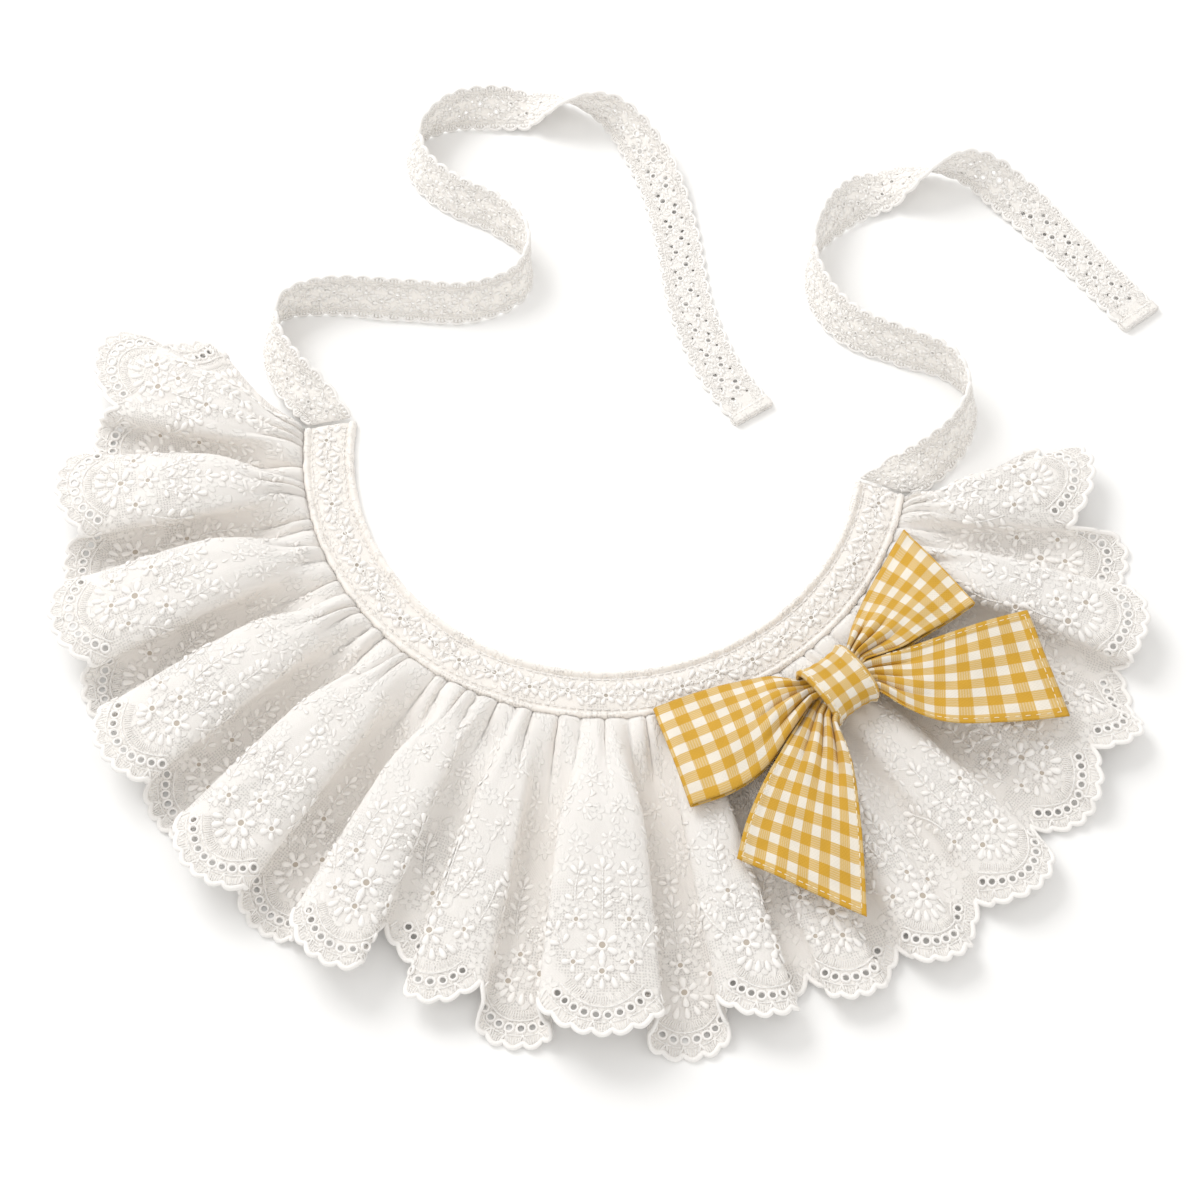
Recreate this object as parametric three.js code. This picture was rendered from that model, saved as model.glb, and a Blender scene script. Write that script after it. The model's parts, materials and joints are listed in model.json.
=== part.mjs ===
// A child's lace bib collar, laid flat on a table with its two ties loose and a gingham bow
// sewn over the seam. Millimetres, +Z up. The pieces are laid out round the centre of the neck
// curve, with +Y towards the opening, and the whole is then stood on its lowest face, with the
// origin under the middle of its box.
import * as THREE from 'three';

// ---------------------------------------------------------------- driving dimensions

const NECK_RADIUS = 73;            // inner edge of the neckband, a half circle
const BAND_WIDTH = 15;
const BAND_THICKNESS = 2.3;        // between the rolled edges
const BAND_ROLL_HEIGHT = 3;        // top of the rolled edges
const BAND_ROLL_WIDTH = 2.4;
const BAND_STEPS = 34;
const BAND_ENDS = {                // angles of the two cut ends, in degrees
  startInner: 181, startOuter: 184, endInner: 358.5, endOuter: 356.5,
};

const SEAM_GAP = 0.3;              // between pieces that are sewn together
const SEAM_LEAN = 0.35;            // room for the ruffle's wall, which leans at the seam
const CLOTH = 1;                   // wall of the ruffle and of the bow

const GATHER_COUNT = 45;           // small gathers along the neckband seam
const GATHER_HEIGHT = 1.5;
const GATHER_FADE = 0.34;          // share of the depth where the gathers have died away
const SEAM_HEIGHT = 1.4;           // middle of the ruffle's wall where it meets the neckband
const FLUTE_RISE = 0.42;           // share of the depth where a flute reaches its full height
const HEM_DROOP = 0.12;            // share of its height that a flute loses towards the hem
const FLAT_VALLEY = 0.12;          // share of a half flute that lies flat on the table
const CLIMBING_SHARE = 0.82;       // share of it over which the wall climbs
const CREST_SPREAD = 0.35;         // how much wider a flute's top is than its valley
const SEAM_SQUEEZE = 0.14;         // how far the flutes fan out past the ends of the neckband
const SEAM_SQUEEZE_POWER = 5;

const SCALLOP_PITCH = 32;          // large scallops of the hem, along the cloth
const SCALLOP_DEPTH = 9;
const FANS_PER_SCALLOP = 7;        // small fans round each large scallop
const FAN_DEPTH = 1;
const FANS_BEFORE_FIRST_CUSP = 5;  // the strip is cut this far into a scallop
const SCALLOP_ROUND = 2.2;         // power of the curve from a scallop's tip to its cusp
const SCALLOP_SHARE = 0.4;         // share of the depth, next to the hem, that follows it
const RUFFLE_ROWS = [0, 0.09, 0.22, 0.45, 0.93];   // shares of the depth with a row of points

// The ruffle's flutes, from the left end round to the right: the plan angle, reach from the
// neck centre and height of each top, how steep its walls stand, and the valley after it.
// floor is how far the cloth stays off the table in that valley.
const RUFFLE_START = { angle: 167, reach: 127, floor: 0 };
const FLUTES = [
  { crest: 179, reach: 152, height: 11, steep: 0.6, valley: 187.5, valleyReach: 149, floor: 0 },
  { crest: 195, reach: 158, height: 15, steep: 0.95, valley: 203, valleyReach: 160, floor: 0 },
  { crest: 210.5, reach: 167, height: 16, steep: 1.0, valley: 218, valleyReach: 167, floor: 0 },
  { crest: 224.5, reach: 172, height: 16, steep: 1.0, valley: 231.5, valleyReach: 171, floor: 0 },
  { crest: 238.5, reach: 177, height: 15, steep: 0.95, valley: 246, valleyReach: 177, floor: 0 },
  { crest: 252.5, reach: 180, height: 15, steep: 0.9, valley: 258, valleyReach: 171, floor: 5 },
  { crest: 263.5, reach: 180, height: 9, steep: 0.7, valley: 269, valleyReach: 185, floor: 0 },
  { crest: 277, reach: 184, height: 15, steep: 1.0, valley: 285, valleyReach: 188, floor: 0 },
  { crest: 291, reach: 183, height: 11, steep: 0.85, valley: 295, valleyReach: 182, floor: 1.5 },
  { crest: 299, reach: 184, height: 8, steep: 0.6, valley: 303, valleyReach: 184, floor: 2 },
  { crest: 307, reach: 185, height: 8, steep: 0.5, valley: 311, valleyReach: 184, floor: 2 },
  { crest: 317, reach: 182, height: 8, steep: 0.4, valley: 323, valleyReach: 177, floor: 1 },
  { crest: 332, reach: 176, height: 8, steep: 0.4, valley: 339, valleyReach: 170, floor: 0 },
  { crest: 345, reach: 164, height: 11, steep: 0.7, valley: 352, valleyReach: 154, floor: 0 },
  { crest: 362.5, reach: 141, height: 10, steep: 0.6, valley: 370.5, valleyReach: 133, floor: 0 },
];

const TIE_WIDTH = 14;
const TIE_THICKNESS = 1.2;
const TIE_HEM_THICKNESS = 2.4;     // the turned and stitched end
const TIE_HEM_LENGTH = 3.5;
const TIE_STEP = 4.6;              // distance between the sections of a tie
const TIE_SQUARING = 12;           // length over which a tie turns away from the band's end

// Each tie's middle line from the neckband to its free end. turn is the angle, seen along the
// tie, from its right-hand side to the edge that stands up: 0 and 180 lie flat, 90 stands on
// edge. lift is the space left under it.
const TIE_LEFT = [
  { x: -80.6, y: -2.1, turn: 5, lift: 0.6 },
  { x: -87.5, y: 3.5, turn: 18, lift: 2.4 },
  { x: -95.5, y: 10.5, turn: 42, lift: 1.8 },
  { x: -101.5, y: 20, turn: 64, lift: 0.8 },
  { x: -101, y: 32, turn: 90, lift: 0 },
  { x: -89, y: 38, turn: 114, lift: 0 },
  { x: -67, y: 40, turn: 124, lift: 0 },
  { x: -45, y: 42, turn: 120, lift: 0 },
  { x: -32, y: 51, turn: 108, lift: 0 },
  { x: -32, y: 64, turn: 84, lift: 0 },
  { x: -43, y: 74, turn: 64, lift: 0 },
  { x: -58, y: 80, turn: 60, lift: 0 },
  { x: -69, y: 89, turn: 64, lift: 0 },
  { x: -71, y: 99, turn: 78, lift: 0 },
  { x: -63, y: 109, turn: 108, lift: 0 },
  { x: -47, y: 115, turn: 150, lift: 0.5 },
  { x: -30, y: 118, turn: 220, lift: 1.5 },
  { x: -13, y: 115, turn: 292, lift: 1 },
  { x: 1, y: 101, turn: 338, lift: 0 },
  { x: 11, y: 79, turn: 357, lift: 0 },
  { x: 19, y: 52, turn: 360, lift: 0 },
  { x: 30, y: 31, turn: 360, lift: 0 },
  { x: 42, y: 17, turn: 360, lift: 0 },
];
const TIE_RIGHT = [
  { x: 80.4, y: -2.6, turn: 172, lift: 0.6 },
  { x: 87, y: 0.5, turn: 158, lift: 0.5 },
  { x: 94.5, y: 6.5, turn: 138, lift: 0 },
  { x: 101.5, y: 16, turn: 120, lift: 0 },
  { x: 104, y: 28, turn: 102, lift: 0 },
  { x: 97, y: 38, turn: 78, lift: 0 },
  { x: 82, y: 43, turn: 62, lift: 0 },
  { x: 67, y: 48, turn: 60, lift: 0 },
  { x: 57, y: 58, turn: 66, lift: 0 },
  { x: 53, y: 71, turn: 84, lift: 0 },
  { x: 57, y: 84, turn: 112, lift: 0 },
  { x: 66, y: 96, turn: 150, lift: 0.5 },
  { x: 80, y: 105, turn: 212, lift: 1.5 },
  { x: 96, y: 109, turn: 282, lift: 1 },
  { x: 110, y: 104, turn: 336, lift: 0.3 },
  { x: 124, y: 93, turn: 356, lift: 0 },
  { x: 138, y: 80, turn: 360, lift: 0 },
  { x: 153, y: 65, turn: 360, lift: 0 },
];

// The bow lies over the seam. Each piece runs from the knot to its end between two edges, here
// on the right and on the left as seen from the knot.
const BOW_LOOP_LEFT = [
  { rightX: 62, rightY: -73, leftX: 66, leftY: -78 },
  { rightX: 54, rightY: -71, leftX: 61, leftY: -89 },
  { rightX: 45, rightY: -75, leftX: 57, leftY: -100 },
  { rightX: 35, rightY: -80, leftX: 50, leftY: -109 },
  { rightX: 25, rightY: -86, leftX: 38, leftY: -114 },
];
const BOW_LOOP_TOP = [
  { rightX: 80, rightY: -63, leftX: 75, leftY: -59 },
  { rightX: 88, rightY: -59.5, leftX: 77, leftY: -49 },
  { rightX: 96, rightY: -56, leftX: 80, leftY: -40 },
  { rightX: 103, rightY: -51, leftX: 84, leftY: -31 },
  { rightX: 110, rightY: -43, leftX: 88, leftY: -22 },
];
const BOW_TAIL_RIGHT = [
  { rightX: 84.5, rightY: -71.5, leftX: 81.5, leftY: -65 },
  { rightX: 93, rightY: -78, leftX: 92, leftY: -59.5 },
  { rightX: 104, rightY: -81, leftX: 103, leftY: -54.5 },
  { rightX: 121, rightY: -79.5, leftX: 113, leftY: -49 },
  { rightX: 138, rightY: -75, leftX: 124, leftY: -44 },
];
const BOW_TAIL_LOWER = [
  { rightX: 68, rightY: -80.5, leftX: 75, leftY: -86.5 },
  { rightX: 61.5, rightY: -94, leftX: 81, leftY: -98 },
  { rightX: 58, rightY: -108, leftX: 85, leftY: -112 },
  { rightX: 54.5, rightY: -119, leftX: 87, leftY: -127 },
  { rightX: 52, rightY: -129, leftX: 88, leftY: -141 },
];
const BOW_REST = { inner: 3.9, outer: 12.8, rise: 36 };   // middle of the cloth that lies lowest
const BOW_LAYER_GAP = 1.5;         // between the middles of a loop's two layers
const BOW_LOOP_PUFF = 3.4;         // how far a loop's upper layer swells
const BOW_PUFF_ALONG = 0.8;        // powers that make the swelling broad
const BOW_PUFF_ACROSS = 0.7;
const BOW_TAIL_ARCH = 1.6;
const BOW_PLEATS = 2.5;            // pleats across each piece at the knot
const BOW_PLEAT_HEIGHT = 1.4;
const BOW_PLEAT_FADE = 0.62;
const BOW_ALONG = 8;
const BOW_ACROSS = 8;
const BOW_FOLD_STEPS = 4;

const KNOT = {
  x: 74, y: -74, heading: 44,      // the loops' axis, in degrees
  length: 15, halfWrap: 9, bottom: 7, top: 18.5, around: 18,
  pinch: 0.9,                      // size of the knot at its middle
  rounding: 0.94,                  // size of its end faces, and how far out the rounding starts
  squareness: 0.8,                 // power that makes its section fuller than an ellipse
};

const COLOURS = {
  lace: 0xf4efe8, band: 0xf1ece4, tie: 0xf3eee7, gingham: 0xe2b44a,
};

// ---------------------------------------------------------------- small helpers

const radians = (degrees) => (degrees * Math.PI) / 180;
const mix = THREE.MathUtils.lerp;
const ease = (share) => THREE.MathUtils.smootherstep(share, 0, 1);
const polar = (radius, angle, height) =>
  new THREE.Vector3(radius * Math.cos(radians(angle)), radius * Math.sin(radians(angle)), height);

function meshFrom(name, { points, triangles }, colour, roughness) {
  const geometry = new THREE.BufferGeometry();
  geometry.setFromPoints(points);
  geometry.setIndex(facingOut(points, triangles).flat());
  geometry.computeVertexNormals();
  const material = new THREE.MeshStandardMaterial({ color: colour, roughness, metalness: 0 });
  const mesh = new THREE.Mesh(geometry, material);
  mesh.name = name;
  return mesh;
}

// The same triangles, turned over where they enclose a negative volume.
function facingOut(points, triangles) {
  const volume = triangles.reduce((sum, [a, b, c]) =>
    sum + points[a].dot(points[b].clone().cross(points[c])), 0);
  return volume > 0 ? triangles : triangles.map(([a, b, c]) => [a, c, b]);
}

// A closed solid through rings with the same number of points.
function loftRings(rings) {
  const count = rings[0].length;
  const triangles = [];
  const last = (rings.length - 1) * count;
  for (let ring = 0; ring < rings.length - 1; ring += 1) {
    for (let side = 0; side < count; side += 1) {
      const next = (side + 1) % count;
      const here = ring * count;
      const beyond = here + count;
      triangles.push([here + side, here + next, beyond + next]);
      triangles.push([here + side, beyond + next, beyond + side]);
    }
  }
  const cap = THREE.ShapeUtils.triangulateShape(capOutline(rings[0]), []);
  const farCap = THREE.ShapeUtils.triangulateShape(capOutline(rings[rings.length - 1]), []);
  cap.forEach(([a, b, c]) => triangles.push([a, c, b]));
  farCap.forEach(([a, b, c]) => triangles.push([last + a, last + b, last + c]));
  return { points: rings.flat(), triangles };
}

// The ring drawn flat, anticlockwise, for filling its cap.
function capOutline(ring) {
  const middle = ring.reduce((sum, point) => sum.add(point), new THREE.Vector3());
  middle.divideScalar(ring.length);
  const normal = new THREE.Vector3();
  ring.forEach((point, index) => {
    const next = ring[(index + 1) % ring.length];
    normal.add(point.clone().sub(middle).cross(next.clone().sub(middle)));
  });
  normal.normalize();
  const across = ring[0].clone().sub(middle).projectOnPlane(normal).normalize();
  const up = normal.clone().cross(across);
  return ring.map((point) => {
    const arm = point.clone().sub(middle);
    return new THREE.Vector2(arm.dot(across), arm.dot(up));
  });
}

// A wall of cloth round the middle surface middleOf(u, v). Each row lists the u of its points
// at one v; the last row may have twice as many steps as the one before it.
function clothWall(middleOf, rows, thickness) {
  const step = 1e-3;
  const top = [];
  const bottom = [];
  const starts = [];
  rows.forEach(({ v, us }) => {
    starts.push(top.length);
    us.forEach((u) => {
      const along = middleOf(u + step, v).sub(middleOf(u - step, v));
      const outward = middleOf(u, v + step).sub(middleOf(u, v - step));
      const offset = outward.cross(along).setLength(thickness / 2);
      const middle = middleOf(u, v);
      const lower = middle.clone().sub(offset);
      lower.z = Math.max(lower.z, 0);
      top.push(middle.add(offset));
      bottom.push(lower);
    });
  });
  const under = top.length;
  const triangles = [];
  const bothFaces = (a, b, c) => triangles.push([a, b, c], [under + a, under + c, under + b]);
  for (let row = 0; row < rows.length - 1; row += 1) {
    const steps = rows[row].us.length - 1;
    const ratio = (rows[row + 1].us.length - 1) / steps;
    for (let index = 0; index < steps; index += 1) {
      const here = starts[row] + index;
      const beyond = starts[row + 1] + index * ratio;
      bothFaces(here, beyond, beyond + 1);
      if (ratio === 2) {
        bothFaces(here, beyond + 1, here + 1);
        bothFaces(here + 1, beyond + 1, beyond + 2);
      } else {
        bothFaces(here, beyond + 1, here + 1);
      }
    }
  }
  const ends = starts.map((start, row) => start + rows[row].us.length - 1);
  const lastRow = rows.length - 1;
  const rim = [];
  for (let index = starts[0]; index <= ends[0]; index += 1) rim.push(index);
  for (let row = 1; row < lastRow; row += 1) rim.push(ends[row]);
  for (let index = ends[lastRow]; index >= starts[lastRow]; index -= 1) rim.push(index);
  for (let row = lastRow - 1; row > 0; row -= 1) rim.push(starts[row]);
  rim.forEach((here, index) => {
    const next = rim[(index + 1) % rim.length];
    triangles.push([here, next, under + next], [here, under + next, under + here]);
  });
  return { points: top.concat(bottom), triangles };
}

const evenSteps = (from, to, count) =>
  Array.from({ length: count + 1 }, (_, index) => mix(from, to, index / count));

// ---------------------------------------------------------------- neckband

function neckband() {
  const inner = NECK_RADIUS;
  const outer = NECK_RADIUS + BAND_WIDTH;
  const soft = 0.6;                // rounding of the rolled edges
  const profile = [
    [inner + soft, 0], [outer - soft, 0],
    [outer, soft], [outer, BAND_ROLL_HEIGHT - soft],
    [outer - soft, BAND_ROLL_HEIGHT], [outer - BAND_ROLL_WIDTH, BAND_THICKNESS],
    [inner + BAND_ROLL_WIDTH, BAND_THICKNESS], [inner + soft, BAND_ROLL_HEIGHT],
    [inner, BAND_ROLL_HEIGHT - soft], [inner, soft],
  ];
  const rings = evenSteps(0, 1, BAND_STEPS).map((share) =>
    profile.map(([radius, height]) => {
      const across = (radius - inner) / BAND_WIDTH;
      const start = mix(BAND_ENDS.startInner, BAND_ENDS.startOuter, across);
      const end = mix(BAND_ENDS.endInner, BAND_ENDS.endOuter, across);
      return polar(radius, mix(start, end, share), height);
    }));
  return meshFrom('neckband', loftRings(rings), COLOURS.band, 0.9);
}

// ---------------------------------------------------------------- ruffle

// The flutes as half flutes, each from a valley to a crest or from a crest to a valley.
function halfFlutes() {
  let valley = RUFFLE_START;
  return FLUTES.flatMap((flute) => {
    const before = valley;
    valley = { angle: flute.valley, reach: flute.valleyReach, floor: flute.floor };
    return [
      { low: before, flute, rising: true },
      { low: valley, flute, rising: false },
    ];
  });
}

// A point of the cloth over one half flute. share runs 0 to 1 along the hem, straight is the
// same place on a hem without walls, and depth runs 0 at the seam to 1 at the hem.
function fluteParts({ low, flute, rising }, share) {
  const climb = rising ? share : 1 - share;
  const wallShift = (flute.steep * Math.sin(2 * Math.PI * climb)) / (2 * Math.PI)
    - (CREST_SPREAD * Math.sin(Math.PI * climb)) / Math.PI;
  const span = flute.crest - low.angle;
  return {
    straight: low.angle + span * climb,
    shift: span * wallShift,
    reach: mix(low.reach, flute.reach, ease(climb)),
    height: mix(low.floor, flute.height, ease((climb - FLAT_VALLEY) / CLIMBING_SHARE)),
  };
}

// Lengths along the hem, so that cloth, gathers and scallops are shared out evenly.
function measureHem() {
  const stepsPerHalf = 48;
  const stations = [];
  let length = 0;
  let previous = null;
  halfFlutes().forEach((half) => {
    for (let step = 0; step <= stepsPerHalf; step += 1) {
      const share = step / stepsPerHalf;
      const { straight, shift, reach, height } = fluteParts(half, share);
      const point = polar(reach, straight + shift, height * (1 - HEM_DROOP));
      if (previous) length += point.distanceTo(previous);
      previous = point;
      stations.push({ length, half, share });
    }
  });
  return { stations, length };
}

const HEM = measureHem();
const SCALLOP_COUNT = Math.round(HEM.length / SCALLOP_PITCH);
const FAN_COUNT = SCALLOP_COUNT * FANS_PER_SCALLOP;
const CUSP_SHIFT = (FANS_PER_SCALLOP - FANS_BEFORE_FIRST_CUSP) / FANS_PER_SCALLOP;

// The half flute and the share of it at a share u of the hem's length.
function hemPlace(u) {
  const wanted = THREE.MathUtils.clamp(u, 0, 1) * HEM.length;
  let low = 0;
  let high = HEM.stations.length - 1;
  while (high - low > 1) {
    const middle = Math.floor((low + high) / 2);
    if (HEM.stations[middle].length <= wanted) low = middle;
    else high = middle;
  }
  const here = HEM.stations[low];
  const next = HEM.stations[high];
  const span = next.length - here.length;
  const fraction = span > 0 ? (wanted - here.length) / span : 0;
  const sameHalf = here.half === next.half;
  return { half: here.half, share: sameHalf ? mix(here.share, next.share, fraction) : here.share };
}

// Flutes near the two ends of the ruffle fan out past the ends of the neckband.
function seamAngle(hemAngle) {
  const lean = (hemAngle - 270) / 100;
  return 270 + 100 * lean * (1 - SEAM_SQUEEZE * Math.abs(lean) ** SEAM_SQUEEZE_POWER);
}

// How far the scalloped edge lies inside the tips, at a share u of the hem.
function scallopInset(u, withFans) {
  const scallop = 2 * ((u * SCALLOP_COUNT + CUSP_SHIFT) % 1) - 1;
  const fan = 2 * ((u * FAN_COUNT) % 1) - 1;
  return SCALLOP_DEPTH * Math.abs(scallop) ** SCALLOP_ROUND + (withFans ? FAN_DEPTH * fan * fan : 0);
}

function ruffleMiddle(u, rowShare, withFans = false) {
  const { half, share } = hemPlace(u);
  const { straight, shift, reach, height } = fluteParts(half, share);
  const seamRadius = NECK_RADIUS + BAND_WIDTH + SEAM_GAP + SEAM_LEAN;
  const fullDepth = reach - seamRadius;
  const inset = scallopInset(u, withFans) / fullDepth;
  const nearHem = ease(1 - (1 - rowShare) / SCALLOP_SHARE);
  const depth = rowShare * (1 - inset * nearHem);
  const angle = mix(seamAngle(straight), straight, depth) + shift * ease(depth / FLUTE_RISE);
  const rise = Math.sin((Math.PI / 2) * Math.min(1, depth / FLUTE_RISE));
  const droop = 1 - HEM_DROOP * ease((depth - FLUTE_RISE) / (1 - FLUTE_RISE));
  const seam = 1 - ease(depth / (GATHER_FADE / 2));
  const gather = 1 - ease(depth / GATHER_FADE);
  const wave = (GATHER_HEIGHT / 2) * Math.cos(2 * Math.PI * GATHER_COUNT * u) * gather;
  const rest = CLOTH / 2 + (GATHER_HEIGHT / 2) * gather * (1 - seam);
  const settled = mix(rest, SEAM_HEIGHT, seam);
  return polar(mix(seamRadius, reach, depth), angle, settled + height * rise * droop + wave);
}

function ruffle() {
  const edge = 1e-3;               // keeps the end sections clear of the cloth's last point
  const bodySteps = FAN_COUNT * 2;
  const us = evenSteps(edge, 1 - edge, bodySteps);
  const rows = RUFFLE_ROWS.map((v) => ({ v, us }));
  rows.push({ v: 1, us: evenSteps(edge, 1 - edge, bodySteps * 2) });
  const middleOf = (u, v) => ruffleMiddle(u, v, v > 0.99);
  return meshFrom('ruffle', clothWall(middleOf, rows, CLOTH), COLOURS.lace, 0.88);
}

// ---------------------------------------------------------------- ties

function tie(name, stations, startHeading) {
  const route = new THREE.CatmullRomCurve3(
    stations.map(({ x, y }) => new THREE.Vector3(x, y, 0)), false, 'centripetal');
  const turns = new THREE.CatmullRomCurve3(
    stations.map(({ turn, lift }, index) => new THREE.Vector3(index, turn, lift)));
  const length = route.getLength();
  const steps = Math.round(length / TIE_STEP);
  const places = evenSteps(0, length - TIE_HEM_LENGTH, steps);
  places.push(length - TIE_HEM_LENGTH + 0.4, length);
  const hemStart = length - TIE_HEM_LENGTH;
  const rings = places.map((place) => {
    const share = route.getUtoTmapping(place / length);
    const middle = route.getPoint(share);
    const heading = route.getTangent(share);
    const { y: turn, z: lift } = turns.getPoint(share);
    const square = new THREE.Vector3(heading.y, -heading.x, 0);
    const start = new THREE.Vector3(
      Math.cos(radians(startHeading)), Math.sin(radians(startHeading)), 0);
    const right = start.lerp(square, ease(place / TIE_SQUARING)).normalize();
    const lean = radians(turn);
    const width = right.clone().multiplyScalar(Math.cos(lean) * TIE_WIDTH / 2);
    width.z = Math.sin(lean) * TIE_WIDTH / 2;
    const thickness = place > hemStart + 0.1 ? TIE_HEM_THICKNESS : TIE_THICKNESS;
    const face = right.clone().multiplyScalar(-Math.sin(lean) * thickness / 2);
    face.z = Math.cos(lean) * thickness / 2;
    middle.z = Math.abs(width.z) + Math.abs(face.z) + Math.max(lift, 0);
    return [
      middle.clone().sub(width).sub(face), middle.clone().add(width).sub(face),
      middle.clone().add(width).add(face), middle.clone().sub(width).add(face),
    ];
  });
  return meshFrom(name, loftRings(rings), COLOURS.tie, 0.9);
}

// ---------------------------------------------------------------- bow

// Height of the cloth that lies lowest at a place on the collar.
function bowRest(x, y) {
  const past = (Math.hypot(x, y) - NECK_RADIUS - BAND_WIDTH) / BOW_REST.rise;
  const rise = Math.sin((Math.PI / 2) * THREE.MathUtils.clamp(past, 0, 1));
  return mix(BOW_REST.inner, BOW_REST.outer, rise);
}

// A place between the two edges: across runs 0 right to 1 left, along 0 knot to 1 end.
function bowPlace(stations) {
  const rightEdge = new THREE.CatmullRomCurve3(
    stations.map((row) => new THREE.Vector3(row.rightX, row.rightY, 0)));
  const leftEdge = new THREE.CatmullRomCurve3(
    stations.map((row) => new THREE.Vector3(row.leftX, row.leftY, 0)));
  return (across, along) => {
    const share = THREE.MathUtils.clamp(along, 0, 1);
    const point = rightEdge.getPoint(share).lerp(leftEdge.getPoint(share), across);
    const pleat = Math.sin(2 * Math.PI * BOW_PLEATS * across) * (1 - ease(along / BOW_PLEAT_FADE));
    point.z = bowRest(point.x, point.y) + (BOW_PLEAT_HEIGHT / 2) * (1 + pleat);
    return point;
  };
}

function bowLoop(name, stations) {
  const place = bowPlace(stations);
  const foldEnd = stations[stations.length - 1];
  const root = stations[0];
  const reach = Math.hypot(foldEnd.rightX - root.rightX, foldEnd.rightY - root.rightY);
  const inset = BOW_LAYER_GAP / 2 / reach;
  // v runs 0 to 1 out along the lower layer, to 2 round the fold and to 3 back along the upper.
  const middleOf = (across, v) => {
    const turn = Math.PI * (THREE.MathUtils.clamp(v, 1, 2) - 1);
    const along = v < 1 ? v : 3 - v;
    const straight = (v < 1 || v > 2) ? along * (1 - inset) : 1 - inset;
    const point = place(across, straight + inset * Math.sin(turn));
    const swell = Math.sin(Math.PI * Math.min(1, straight / (1 - inset))) ** BOW_PUFF_ALONG
      * Math.sin(Math.PI * across) ** BOW_PUFF_ACROSS;
    const layer = v > 1 ? (BOW_LAYER_GAP * (1 - Math.cos(turn))) / 2 : 0;
    point.z += layer + (v > 2 ? BOW_LOOP_PUFF * swell : 0);
    return point;
  };
  const us = evenSteps(0.002, 0.998, BOW_ACROSS);
  const out = evenSteps(0.002, 1, BOW_ALONG).slice(0, -1);
  const fold = evenSteps(1.02, 1.98, BOW_FOLD_STEPS);
  const back = evenSteps(2, 2.998, BOW_ALONG).slice(1);
  const rows = [...out, ...fold, ...back].map((v) => ({ v, us }));
  return meshFrom(name, clothWall(middleOf, rows, CLOTH), COLOURS.gingham, 0.85);
}

function bowTail(name, stations) {
  const place = bowPlace(stations);
  const middleOf = (across, along) => {
    const point = place(across, along);
    point.z += BOW_TAIL_ARCH * Math.sin(Math.PI * THREE.MathUtils.clamp(along, 0, 1));
    return point;
  };
  const us = evenSteps(0, 1, BOW_ACROSS);
  const rows = evenSteps(0.002, 0.998, BOW_ALONG).map((v) => ({ v, us }));
  return meshFrom(name, clothWall(middleOf, rows, CLOTH), COLOURS.gingham, 0.85);
}

function bowKnot() {
  const axis = new THREE.Vector3(
    Math.cos(radians(KNOT.heading)), Math.sin(radians(KNOT.heading)), 0);
  const wrap = new THREE.Vector3(axis.y, -axis.x, 0);
  const shares = [-1, -KNOT.rounding, -0.6, 0, 0.6, KNOT.rounding, 1];
  const height = (KNOT.top - KNOT.bottom) / 2;
  const rings = shares.map((share) => {
    const edge = Math.abs(share) > KNOT.rounding ? KNOT.rounding : 1;
    const size = edge * mix(1, KNOT.pinch, 1 - share * share);
    const ring = [];
    for (let index = 0; index < KNOT.around; index += 1) {
      const angle = (2 * Math.PI * index) / KNOT.around;
      const side = Math.sign(Math.cos(angle)) * Math.abs(Math.cos(angle)) ** KNOT.squareness;
      const rise = Math.sign(Math.sin(angle)) * Math.abs(Math.sin(angle)) ** KNOT.squareness;
      const point = new THREE.Vector3(KNOT.x, KNOT.y, KNOT.bottom + height);
      point.addScaledVector(axis, (share * KNOT.length) / 2);
      point.addScaledVector(wrap, side * KNOT.halfWrap * size);
      point.z += rise * height * size;
      ring.push(point);
    }
    return ring;
  });
  return meshFrom('bow_knot', loftRings(rings), COLOURS.gingham, 0.85);
}

// ---------------------------------------------------------------- assembly

const collar = new THREE.Group();
collar.add(
  neckband(),
  ruffle(),
  tie('tie_left', TIE_LEFT, 17),
  tie('tie_right', TIE_RIGHT, -9),
  bowLoop('bow_loop_left', BOW_LOOP_LEFT),
  bowLoop('bow_loop_top', BOW_LOOP_TOP),
  bowTail('bow_tail_right', BOW_TAIL_RIGHT),
  bowTail('bow_tail_lower', BOW_TAIL_LOWER),
  bowKnot(),
);

// Stand the collar on the table, with the origin under the middle of its box.
collar.updateMatrixWorld(true);
const box = new THREE.Box3().setFromObject(collar, true);
collar.position.set(-(box.min.x + box.max.x) / 2, -(box.min.y + box.max.y) / 2, -box.min.z);

export default collar;
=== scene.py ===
# %% [markdown]
# # A lace bib collar with a gingham bow
# A child's collar lies on a table: a curved neckband, a gathered lace ruffle with a scalloped
# hem, two lace tape ties and a bow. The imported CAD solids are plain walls. Each one is replaced
# here by thin cloth on the same form, with the eyelets, stitches and check of the real thing.

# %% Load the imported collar
import json
import math
from collections import namedtuple

import bpy
import numpy as np
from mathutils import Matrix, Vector, noise
from mathutils.geometry import delaunay_2d_cdt

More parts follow.
